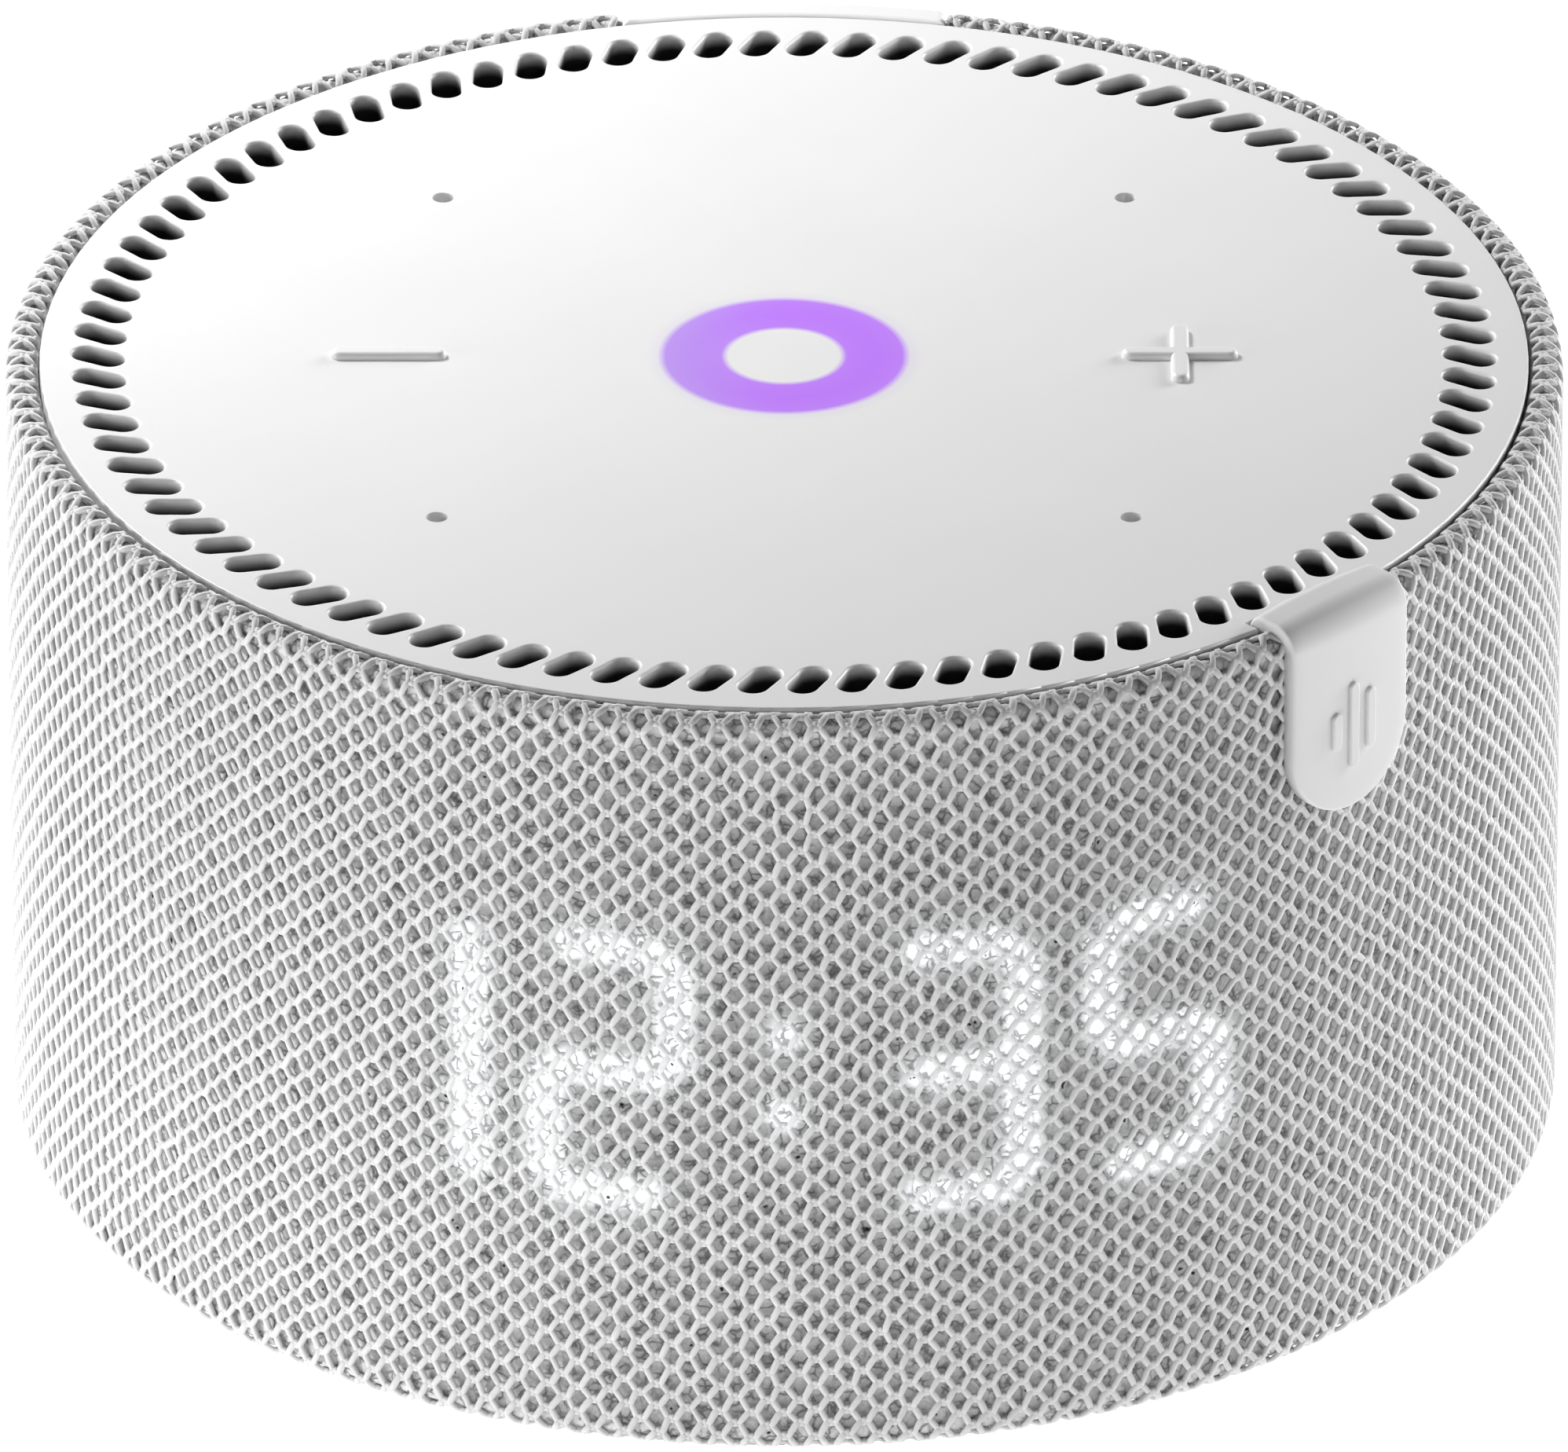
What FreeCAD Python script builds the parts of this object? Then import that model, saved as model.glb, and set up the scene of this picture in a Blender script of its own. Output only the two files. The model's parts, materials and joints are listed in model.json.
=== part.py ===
# Round fabric-covered smart speaker with a clock behind the cloth.
# Units are millimetres. +Z is up, the clock faces -Y, and the origin is the centre of the foot's underside.
import FreeCAD, Part
import Sketcher
import math
import os
import re

Vector = FreeCAD.Vector

SIZES = [
    # outer form
    ("body_radius", 49.0, "outside of the fabric"),
    ("body_top", 54.0, "ridge of the fabric's top roll"),
    ("fabric_bottom", 1.9, "lower edge of the fabric"),
    ("fabric_thickness", 1.2, "cloth backing and open net together"),
    ("fabric_lip", 1.7, "height of the roll at the top edge"),
    ("fabric_hem", 1.0, "height of the roll at the bottom edge"),
    # gaps between parts
    ("fit_gap", 0.1, "round parts that sit in one another"),
    ("seat_gap", 0.05, "between parts that rest on one another"),
    # top plate
    ("plate_radius", 46.75, "top plate"),
    ("plate_top", 53.7, "upper face of the top plate"),
    ("plate_thickness", 2.4, "at the rim"),
    ("plate_web", 1.6, "over the touch board"),
    ("plate_web_radius", 37.0, "thinned centre"),
    ("plate_edge_round", 0.15, "rim's upper edge"),
    ("vent_count", 90.0, "sound slots in the ring"),
    ("vent_ring_radius", 43.05, "middle of the slots"),
    ("vent_length", 3.55, "end to end"),
    ("vent_width", 1.9, "across"),
    ("vent_tilt", 28.0, "degrees from radial"),
    ("vent_lip", 0.2, "rounding of the slot's mouth"),
    ("mic_offset", 21.6, "microphone holes, along X and along Y"),
    ("mic_hole_radius", 0.68, "microphone hole"),
    ("mark_offset", 24.85, "raised volume marks, from the centre"),
    ("mark_length", 7.3, "bar of a volume mark"),
    ("mark_width", 1.15, "bar of a volume mark"),
    ("mark_height", 0.45, "above the plate"),
    ("mark_round", 0.34, "upper edge of a volume mark"),
    ("tab_count", 6.0, "locating tabs under the plate"),
    ("tab_radius", 44.9, "inner face of the locating tabs"),
    ("tab_thickness", 0.7, "locating tab"),
    ("tab_width", 6.0, "locating tab"),
    ("tab_depth", 3.8, "locating tab"),
    # side shell
    ("shell_radius", 47.7, "outside of the plastic shell"),
    ("shell_inner", 45.9, "inside of the plastic shell"),
    ("shell_bottom", 2.95, "lower edge"),
    ("shell_top", 52.2, "upper edge"),
    ("shell_ledge", 51.2, "step that carries the top plate"),
    ("boss_radius", 41.0, "base screws, from the centre"),
    ("boss_width", 5.2, "screw bosses"),
    ("boss_root", 0.3, "how far a boss sinks into the wall"),
    ("boss_top", 12.0, "upper end of the screw bosses"),
    # base and foot
    ("base_radius", 45.1, "base cover"),
    ("base_bottom", 1.5, "underside of the base cover"),
    ("base_top", 4.5, "upper face of the base cover"),
    ("foot_inner", 30.6, "foot ring"),
    ("foot_outer", 44.4, "foot ring"),
    ("foot_thickness", 1.95, "foot ring"),
    ("foot_round", 0.65, "foot ring's lower edges"),
    ("post_offset", 24.0, "posts of the base and legs of the speaker box, along X and along Y"),
    ("post_radius", 2.6, "posts of the base and legs of the speaker box"),
    ("ballast_radius", 30.0, "steel weight"),
    ("ballast_thickness", 4.0, "steel weight"),
    # tag
    ("tag_width", 10.15, "soft tag over the rim"),
    ("tag_thickness", 0.9, "soft tag"),
    ("tag_azimuth", -44.8, "degrees from +X"),
    ("tag_root", 45.4, "inner end, in the plate's notch"),
    ("tag_face", 49.6, "outer face, from the axis"),
    ("tag_top", 54.55, "highest line, over the fabric's roll"),
    ("tag_bottom", 40.5, "lower end"),
    ("tag_bend", 1.8, "outer radius of the bend over the rim"),
    ("tag_root_bend", 1.3, "outer radius of the bend out of the notch"),
    ("tag_end_round", 4.95, "corners of the hanging end"),
    ("tag_edge_round", 0.3, "edge of the outer face"),
    ("tag_mark_z", 46.3, "middle of the plain mark on the tag"),
    ("tag_mark_pitch", 1.5, "between the bars of the mark"),
    ("tag_mark_width", 0.8, "bars of the mark"),
    ("tag_mark_height", 0.25, "bars of the mark"),
    ("mark_short", 2.6, "first bar"),
    ("mark_middle", 4.2, "third bar"),
    ("mark_long", 6.0, "middle bar"),
    # screws
    ("screw_radius", 1.05, "shank of the long screws"),
    ("screw_head_radius", 2.1, "head of the long screws"),
    ("screw_head_height", 1.4, "head of the long screws"),
    ("screw_head_top", 3.5, "where a head seats in the base cover"),
    ("small_screw_radius", 0.75, "shank of the short screws"),
    ("small_head_radius", 1.4, "head of the short screws"),
    ("small_head_height", 0.9, "head of the short screws"),
    ("screw_end_gap", 1.0, "left beyond a screw's end"),
    ("touch_screw_length", 2.0, "shank of the touch board's screws"),
    ("driver_screw_length", 4.0, "shank of the driver's screws"),
    # touch board, ring light and microphones
    ("touch_board_z", 49.8, "underside of the touch board"),
    ("touch_board_top", 50.8, "upper face of the touch board"),
    ("touch_board_radius", 34.0, "touch board"),
    ("touch_post_offset", 29.0, "posts that carry the touch board, from the centre"),
    ("touch_post_radius", 1.9, "posts that carry the touch board"),
    ("ring_light_inner", 3.8, "light guide"),
    ("ring_light_outer", 7.7, "light guide"),
    ("ring_led_count", 6.0, "lamps under the light guide"),
    ("ring_light_rise", 0.7, "from the touch board to the light guide"),
    ("led_length", 1.6, "surface-mounted lamp"),
    ("led_width", 0.8, "surface-mounted lamp"),
    ("led_height", 0.6, "surface-mounted lamp"),
    ("mic_length", 3.6, "microphone capsule"),
    ("mic_width", 2.7, "microphone capsule"),
    ("mic_height", 0.9, "microphone capsule"),
    ("gasket_radius", 2.04, "outside of a microphone gasket"),
    ("gasket_hole", 1.02, "hole of a microphone gasket"),
    ("dust_mesh_inner", 40.5, "cloth ring under the vents"),
    ("dust_mesh_thickness", 0.2, "cloth ring under the vents"),
    # clock
    ("window_half", 27.8, "half width of the display window"),
    ("window_bottom", 17.4, "display window"),
    ("window_top", 38.8, "display window"),
    ("digit_inner_x", 11.05, "centre of the digits beside the colon"),
    ("digit_outer_x", 23.7, "centre of the outer digits"),
    ("digit_z", 28.1, "middle of the digits"),
    ("digit_width", 7.9, "between the middles of the upright segments"),
    ("digit_height", 16.2, "between the middles of the top and bottom segments"),
    ("segment_width", 2.3, "light cell of a segment"),
    ("segment_wall", 0.9, "left between neighbouring light cells"),
    ("colon_half", 2.75, "colon dots from the middle"),
    ("light_frame_inner", 45.0, "inner face of the clock's light frame"),
    ("diffuser_thickness", 0.45, "clock diffuser"),
    ("display_board_outer", 44.05, "outer face of the curved board"),
    ("display_board_thickness", 0.8, "curved board"),
    # rear panel
    ("panel_half", 10.35, "half width of the rear panel"),
    ("panel_bottom", 2.0, "rear panel"),
    ("panel_edge_round", 0.5, "outer edges of the rear panel"),
    ("slider_z", 43.0, "microphone switch"),
    ("slider_travel", 2.5, "microphone switch"),
    ("slider_length", 5.0, "its knob, along X"),
    ("slider_height", 3.2, "its knob, along Z"),
    ("slider_play", 0.3, "gap round the knob"),
    ("slider_floor", 47.8, "floor of the switch recess, from the axis"),
    ("knob_depth", 1.1, "knob of the microphone switch, along Y"),
    ("knob_round", 0.3, "outer edges of the knob"),
    ("ridge_width", 0.5, "grip ridges on the knob"),
    ("ridge_height", 0.2, "grip ridges on the knob"),
    ("ridge_pitch", 1.0, "grip ridges on the knob"),
    ("stem_length", 2.0, "knob's stem, along X"),
    ("stem_height", 1.2, "knob's stem, along Z"),
    ("stem_end", 43.2, "inner end of the stem"),
    ("switch_length", 10.0, "switch body, along X"),
    ("switch_height", 5.0, "switch body, along Z"),
    ("switch_cover", 1.2, "switch body beyond the stem's end"),
    ("switch_slot_depth", 0.4, "slot in the switch body beyond the stem's end"),
    ("jack_z", 27.0, "audio jack"),
    ("jack_barrel", 3.0, "audio jack's nose"),
    ("jack_sink", 0.8, "audio jack's nose behind the panel's face"),
    ("jack_block", 6.8, "audio jack's block"),
    ("jack_bore", 1.78, "audio jack for a 3.5 mm plug"),
    ("jack_floor", 0.6, "closed end of the bore"),
    ("inlet_z", 15.0, "power inlet"),
    ("inlet_length", 8.94, "metal shell of the power inlet"),
    ("inlet_width", 3.26, "metal shell of the power inlet"),
    ("inlet_wall", 0.3, "metal shell of the power inlet"),
    ("inlet_floor", 1.2, "closed end of the power inlet"),
    ("inlet_sink", 0.4, "power inlet behind the well's floor"),
    ("inlet_gap", 0.2, "round the power inlet"),
    ("tongue_length", 6.7, "contact tongue, along X"),
    ("tongue_thickness", 0.7, "contact tongue"),
    ("tongue_reach", 5.0, "contact tongue, along Y"),
    ("well_floor", 47.4, "floor of the well round the power inlet, from the axis"),
    ("well_length", 13.0, "well round the power inlet"),
    ("well_width", 7.0, "well round the power inlet"),
    ("port_board_y", 38.0, "inner face of the port board"),
    ("port_board_thickness", 1.2, "port board"),
    ("port_board_low", 11.0, "lower edge of the port board"),
    ("port_board_high", 47.0, "upper edge of the port board"),
    ("port_board_half", 10.0, "half width of the port board"),
    # main board and cables
    ("main_board_z", 10.5, "underside of the main board"),
    ("board_thickness", 1.6, "main board"),
    ("board_top", 12.1, "upper face of the main board"),
    ("main_board_radius", 37.4, "main board"),
    ("chip_width", 12.0, "processor"),
    ("chip_height", 1.2, "processor"),
    ("can_width", 18.0, "shield can"),
    ("can_height", 2.1, "shield can"),
    ("can_wall", 0.3, "shield can"),
    ("spreader_length", 38.0, "heat spreader, along X"),
    ("spreader_width", 28.0, "heat spreader, along Y"),
    ("spreader_thickness", 1.5, "heat spreader"),
    ("capacitor_radius", 3.0, "capacitors"),
    ("capacitor_height", 4.4, "capacitors"),
    ("capacitor_x", 28.0, "capacitors"),
    ("capacitor_y", 6.0, "capacitors"),
    ("inductor_x", 27.5, "inductor"),
    ("inductor_width", 7.0, "inductor"),
    ("inductor_height", 4.0, "inductor"),
    ("socket_length", 12.0, "cable sockets"),
    ("socket_width", 3.0, "cable sockets"),
    ("socket_height", 1.2, "cable sockets"),
    ("display_socket_y", -29.5, "socket of the clock's cable"),
    ("port_socket_y", 27.5, "socket of the port board's cable"),
    ("antenna_width", 16.0, "antennas, along Y"),
    ("antenna_height", 12.0, "antennas"),
    ("antenna_rise", 3.0, "antennas above the speaker box's floor"),
    ("antenna_thickness", 0.4, "antennas"),
    ("lead_radius", 0.5, "speaker leads"),
    ("lead_x", -10.5, "middle of the two speaker leads"),
    ("lead_y", 22.0, "speaker leads"),
    ("lead_half", 1.5, "each speaker lead from their middle"),
    ("ribbon_thickness", 0.3, "flat cables"),
    ("ribbon_reach", 40.9, "upright run of the touch board's cable"),
    ("touch_ribbon_low", 34.5, "touch board's cable, end on the main board"),
    ("touch_ribbon_high", 30.5, "touch board's cable, end under the touch board"),
    ("touch_ribbon_width", 8.0, "touch board's cable"),
    ("display_ribbon_low", 31.5, "clock's cable, end on the main board"),
    ("display_ribbon_width", 10.0, "clock's cable"),
    ("port_ribbon_low", 29.5, "port board's cable, end on the main board"),
    ("port_ribbon_rise", 6.0, "port board's cable above the board's lower edge"),
    ("port_ribbon_width", 8.0, "port board's cable"),
    # speaker
    ("box_radius", 36.5, "speaker box"),
    ("box_bottom", 17.0, "speaker box"),
    ("box_top", 37.5, "speaker box"),
    ("box_wall", 1.8, "speaker box"),
    ("baffle_top", 40.0, "baffle that closes the speaker box"),
    ("driver_hole", 25.0, "hole in the baffle"),
    ("driver_flange", 28.0, "driver's mounting flange"),
    ("flange_thickness", 1.2, "driver's mounting flange"),
    ("basket_top_inner", 24.0, "driver's basket, at the flange's upper face"),
    ("basket_step_inner", 23.6, "driver's basket, below the surround"),
    ("basket_step_z", 39.75, "driver's basket, below the surround"),
    ("basket_neck", 24.6, "driver's basket, outside at the flange"),
    ("basket_floor_inner", 9.6, "hole in the basket's floor"),
    ("basket_floor_outer", 17.4, "outside of the basket's floor"),
    ("basket_floor_turn", 16.6, "inside of the basket's floor"),
    ("basket_floor_thickness", 1.0, "floor of the basket"),
    ("basket_window_length", 14.0, "windows of the basket"),
    ("basket_window_width", 4.0, "windows of the basket"),
    ("basket_window_middle", 20.3, "windows of the basket, from the axis"),
    ("driver_screw_offset", 26.5, "driver's screws, from the axis"),
    ("washer_radius", 16.0, "driver's front washer"),
    ("washer_hole", 8.3, "driver's front washer"),
    ("washer_top", 29.1, "driver's front washer"),
    ("magnet_radius", 17.5, "driver's magnet"),
    ("magnet_hole", 10.5, "driver's magnet"),
    ("magnet_top", 26.3, "driver's magnet"),
    ("yoke_radius", 17.0, "driver's yoke"),
    ("yoke_pole", 7.0, "driver's yoke"),
    ("yoke_plate_top", 22.3, "driver's yoke"),
    ("yoke_bottom", 19.9, "driver's yoke"),
    ("coil_inner", 7.3, "voice coil"),
    ("coil_outer", 8.0, "voice coil"),
    ("coil_bottom", 24.9, "voice coil, at rest"),
    ("coil_top", 33.1, "voice coil, at rest"),
    ("cone_radius", 19.3, "driver's cone"),
    ("cone_rim", 40.0, "driver's cone, at rest"),
    ("cone_thickness", 0.5, "driver's cone"),
    ("cap_curve", 13.6, "radius of the dust cap's dome"),
    ("cap_rise", 3.0, "top of the dust cap above the coil"),
    ("cap_rim", 0.3, "edge of the dust cap above the coil"),
    ("cap_thickness", 0.4, "dust cap"),
    ("surround_middle", 21.65, "middle of the surround's roll"),
    ("surround_roll", 1.85, "half roll of the surround"),
    ("surround_thickness", 0.4, "surround"),
    ("spider_inner", 8.15, "spider"),
    ("spider_z", 31.0, "underside of the spider"),
    ("spider_thickness", 0.4, "spider"),
]

doc = FreeCAD.newDocument("clock_speaker")
sheet = doc.addObject("Spreadsheet::Sheet", "Sizes")
for row, (alias, number, note) in enumerate(SIZES, start=1):
    sheet.set(f"A{row}", str(number))
    sheet.setAlias(f"A{row}", alias)
    sheet.set(f"B{row}", note)
doc.recompute()

NODES = []
SAME_PLACE = 1e-3  # edges this close to a height or a radius count as being there


# --- helpers: every length below is a formula on the sheet's words ---

def formula(text):
    """A formula such as 'body_radius - fit_gap', with each word that isn't a function looked up in the sheet."""
    return re.sub(r"\b[a-z_]+\b(?!\()", lambda word: "Sizes." + word.group(), str(text))


def value(text):
    return float(sheet.evalExpression(formula(text)))


def bind(item, **formulas):
    for name, text in formulas.items():
        item.setExpression(name, formula(text))
    return item


def place(item, x="0", y="0", z="0"):
    for axis, text in (("x", x), ("y", y), ("z", z)):
        item.setExpression(f".Placement.Base.{axis}", formula(text))
    return item


def turn_about_z(item, azimuth):
    """Turn an object about the vertical axis through its own origin, by a formula in degrees."""
    item.setExpression(".Placement.Rotation.Angle", formula(azimuth))
    return item


def keep(item, name):
    """Make this object a sub-part that is written under its own name."""
    item.Label = name
    NODES.append(item)
    return item


def new_body(name, is_node=True):
    body = doc.addObject("PartDesign::Body", name)
    return keep(body, name) if is_node else body


def new_sketch(body, name, role="XY_Plane", offset="0", azimuth="0"):
    """Sketch on an origin plane, raised along the plane's normal and turned in the plane."""
    sketch = body.newObject("Sketcher::SketchObject", name)
    plane = next(item for item in body.Origin.OriginFeatures if item.Role == role)
    sketch.AttachmentSupport = [(plane, "")]
    sketch.MapMode = "FlatFace"
    sketch.setExpression(".AttachmentOffset.Base.z", formula(offset))
    sketch.setExpression(".AttachmentOffset.Rotation.Angle", formula(azimuth))
    return sketch


def fix(sketch, kind, *where):
    """Add one dimension whose number comes from a formula, the last argument."""
    number = sketch.addConstraint(Sketcher.Constraint(kind, *where[:-1], value(where[-1])))
    sketch.setExpression(f"Constraints[{number}]", formula(where[-1]))


def draw_outline(sketch, corners):
    """Closed polygon. Each corner is a pair of formulas."""
    points = [Vector(value(x), value(y), 0) for x, y in corners]
    count = len(points)
    first = sketch.GeometryCount
    for i in range(count):
        sketch.addGeometry(Part.LineSegment(points[i], points[(i + 1) % count]), False)
    for i in range(count):
        after = first + (i + 1) % count
        sketch.addConstraint(Sketcher.Constraint("Coincident", first + i, 2, after, 1))
    for i, (x, y) in enumerate(corners):
        fix(sketch, "DistanceX", -1, 1, first + i, 1, x)
        fix(sketch, "DistanceY", -1, 1, first + i, 1, y)


def draw_box(sketch, x_low, y_low, x_high, y_high):
    draw_outline(sketch, [(x_low, y_low), (x_high, y_low), (x_high, y_high), (x_low, y_high)])


def draw_circle(sketch, radius, x="0", y="0"):
    centre = Vector(value(x), value(y), 0)
    number = sketch.addGeometry(Part.Circle(centre, Vector(0, 0, 1), value(radius)), False)
    fix(sketch, "DistanceX", -1, 1, number, 3, x)
    fix(sketch, "DistanceY", -1, 1, number, 3, y)
    fix(sketch, "Radius", number, radius)


def draw_stadium(sketch, length, width, x="0", y="0", tilt="0"):
    """Slot with round ends, its length turned by tilt degrees from the sketch's X."""
    reach = f"({length} - {width}) / 2"
    ends = []
    for sign in ("+", "-"):
        ends.append((f"{x} {sign} {reach} * cos({tilt} * 1deg)", f"{y} {sign} {reach} * sin({tilt} * 1deg)"))
    radius = value(f"({width}) / 2")
    turn = math.radians(value(tilt))
    arcs = []
    for (end_x, end_y), start in zip(ends, (turn - math.pi / 2, turn + math.pi / 2)):
        circle = Part.Circle(Vector(value(end_x), value(end_y), 0), Vector(0, 0, 1), radius)
        arcs.append(sketch.addGeometry(Part.ArcOfCircle(circle, start, start + math.pi), False))
        fix(sketch, "DistanceX", -1, 1, arcs[-1], 3, end_x)
        fix(sketch, "DistanceY", -1, 1, arcs[-1], 3, end_y)
    fix(sketch, "Radius", arcs[0], f"({width}) / 2")
    for here, there in ((arcs[0], arcs[1]), (arcs[1], arcs[0])):
        start = sketch.getPoint(here, 2)
        end = sketch.getPoint(there, 1)
        line = sketch.addGeometry(Part.LineSegment(start, end), False)
        sketch.addConstraint(Sketcher.Constraint("Tangent", here, 2, line, 1))
        sketch.addConstraint(Sketcher.Constraint("Tangent", line, 2, there, 1))


def draw_sector(sketch, inner, outer, half, facing):
    """Piece of a ring about the origin, |x| up to half, on the +Y side (facing 1) or the other (facing -1)."""
    arcs = []
    for radius in (inner, outer):
        reach = math.asin(value(half) / value(radius))
        middle = facing * math.pi / 2
        circle = Part.Circle(Vector(), Vector(0, 0, 1), value(radius))
        arc = sketch.addGeometry(Part.ArcOfCircle(circle, middle - reach, middle + reach), False)
        sketch.addConstraint(Sketcher.Constraint("Coincident", arc, 3, -1, 1))
        fix(sketch, "Radius", arc, radius)
        fix(sketch, "DistanceX", -1, 1, arc, 1, f"{facing} * ({half})")
        fix(sketch, "DistanceX", -1, 1, arc, 2, f"{-facing} * ({half})")
        arcs.append(arc)
    for end in (1, 2):
        points = [sketch.getPoint(arc, end) for arc in arcs]
        line = sketch.addGeometry(Part.LineSegment(*points), False)
        sketch.addConstraint(Sketcher.Constraint("Coincident", line, 1, arcs[0], end))
        sketch.addConstraint(Sketcher.Constraint("Coincident", line, 2, arcs[1], end))


def pad(body, sketch, length, both_ways=False, downward=False):
    feature = body.newObject("PartDesign::Pad", sketch.Name + "_pad")
    feature.Profile = sketch
    feature.Reversed = downward
    if both_ways:
        feature.SideType = "Symmetric"
    bind(feature, Length=length)
    doc.recompute()
    return feature


def pocket(body, sketch, length=None, upward=False):
    """Cut a sketch out of the body, through everything when no length is given."""
    before = body.Shape.Volume
    feature = body.newObject("PartDesign::Pocket", sketch.Name + "_pocket")
    feature.Profile = sketch
    feature.Reversed = upward
    if length is None:
        feature.Type = "ThroughAll"
    else:
        bind(feature, Length=length)
    doc.recompute()
    if body.Shape.Volume > before - SAME_PLACE:
        raise RuntimeError(f"{sketch.Name} cut nothing")
    return feature


def repeat_round(body, feature, sketch, count):
    pattern = body.newObject("PartDesign::PolarPattern", feature.Name + "_ring")
    pattern.Originals = [feature]
    pattern.Axis = (sketch, ["N_Axis"])
    pattern.Angle = 360
    bind(pattern, Occurrences=count)
    body.Tip = pattern
    doc.recompute()
    return pattern


def turn(body, sketch):
    feature = body.newObject("PartDesign::Revolution", sketch.Name + "_turn")
    feature.Profile = sketch
    feature.ReferenceAxis = (sketch, ["V_Axis"])
    feature.Angle = 360
    doc.recompute()
    return feature


def turned(name, corners):
    """Body turned about Z from corners given as (radius, height)."""
    body = new_body(name)
    sketch = new_sketch(body, name + "_profile", "XZ_Plane")
    draw_outline(sketch, corners)
    turn(body, sketch)
    return body


def tube_outline(outer, inner, low, high):
    return [(inner, low), (outer, low), (outer, high), (inner, high)]


def round_edges(body, radius, wanted):
    """Fillet the edges of the body's tip that a test picks."""
    tip = body.Tip
    names = [f"Edge{i}" for i, edge in enumerate(tip.Shape.Edges, start=1) if wanted(edge)]
    feature = body.newObject("PartDesign::Fillet", tip.Name + "_round")
    feature.Base = (tip, names)
    bind(feature, Radius=radius)
    doc.recompute()
    return feature


def at_height(edge, height):
    """True when the whole edge lies at one height."""
    box = edge.BoundBox
    return abs(box.ZMin - value(height)) < SAME_PLACE and abs(box.ZMax - value(height)) < SAME_PLACE


def edge_radius(edge):
    middle = edge.BoundBox.Center
    return math.hypot(middle.x, middle.y)


def is_upright(edge):
    return edge.BoundBox.ZLength > 1


def is_ring(edge, radius):
    """True for a circle of this radius about the axis."""
    return abs(edge.BoundBox.XLength / 2 - value(radius)) < SAME_PLACE


def block(name, x, y, z, x_size, y_size, z_size):
    """Plain block from its lowest corner."""
    item = doc.addObject("Part::Box", name)
    bind(item, Length=x_size, Width=y_size, Height=z_size)
    return place(item, x, y, z)


def middle_block(name, x, y, z, x_size, y_size, z_size):
    """Plain block from the middle of its underside."""
    return block(name, f"{x} - ({x_size}) / 2", f"{y} - ({y_size}) / 2", z, x_size, y_size, z_size)


def turned_block(name, azimuth, x, y, z, x_size, y_size, z_size):
    """Plain block from its lowest corner, then turned about Z by some degrees."""
    cosine = f"cos({azimuth} * 1deg)"
    sine = f"sin({azimuth} * 1deg)"
    turned_x = f"({x}) * {cosine} - ({y}) * {sine}"
    turned_y = f"({x}) * {sine} + ({y}) * {cosine}"
    return turn_about_z(block(name, turned_x, turned_y, z, x_size, y_size, z_size), azimuth)


def rod(name, radius, height, x="0", y="0", z="0"):
    """Cylinder along Z from its lower end."""
    item = doc.addObject("Part::Cylinder", name)
    bind(item, Radius=radius, Height=height)
    return place(item, x, y, z)


def rod_along_y(name, radius, length, x, y, z):
    """Cylinder along Y from its end with the lowest Y."""
    item = rod(name, radius, length)
    item.Placement = FreeCAD.Placement(Vector(), FreeCAD.Rotation(Vector(1, 0, 0), -90))
    return place(item, x, y, z)


def cut(name, base, tool):
    item = doc.addObject("Part::Cut", name)
    item.Base = base
    item.Tool = tool
    return item


def fuse(name, members):
    item = doc.addObject("Part::MultiFuse", name)
    item.Shapes = members
    return item


def common(name, first, second):
    item = doc.addObject("Part::Common", name)
    item.Base = first
    item.Tool = second
    return item


def group(name, members):
    """Several separate solids that share one node."""
    item = doc.addObject("Part::Compound", name)
    item.Links = members
    return keep(item, name)


def tube(name, outer, inner, low, high):
    """Plain ring about the axis between two heights, kept as a node."""
    height = f"{high} - ({low})"
    outside = rod(name + "_outside", outer, height, z=low)
    return keep(cut(name, outside, rod(name + "_inside", inner, height, z=low)), name)


def four_corners(name, offset, make):
    """Four copies at (+-offset, +-offset), each from make(name, x, y)."""
    corners = [(x, y) for x in (offset, f"-{offset}") for y in (offset, f"-{offset}")]
    return [make(f"{name}_{i}", x, y) for i, (x, y) in enumerate(corners, start=1)]


# --- covers ---

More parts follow.
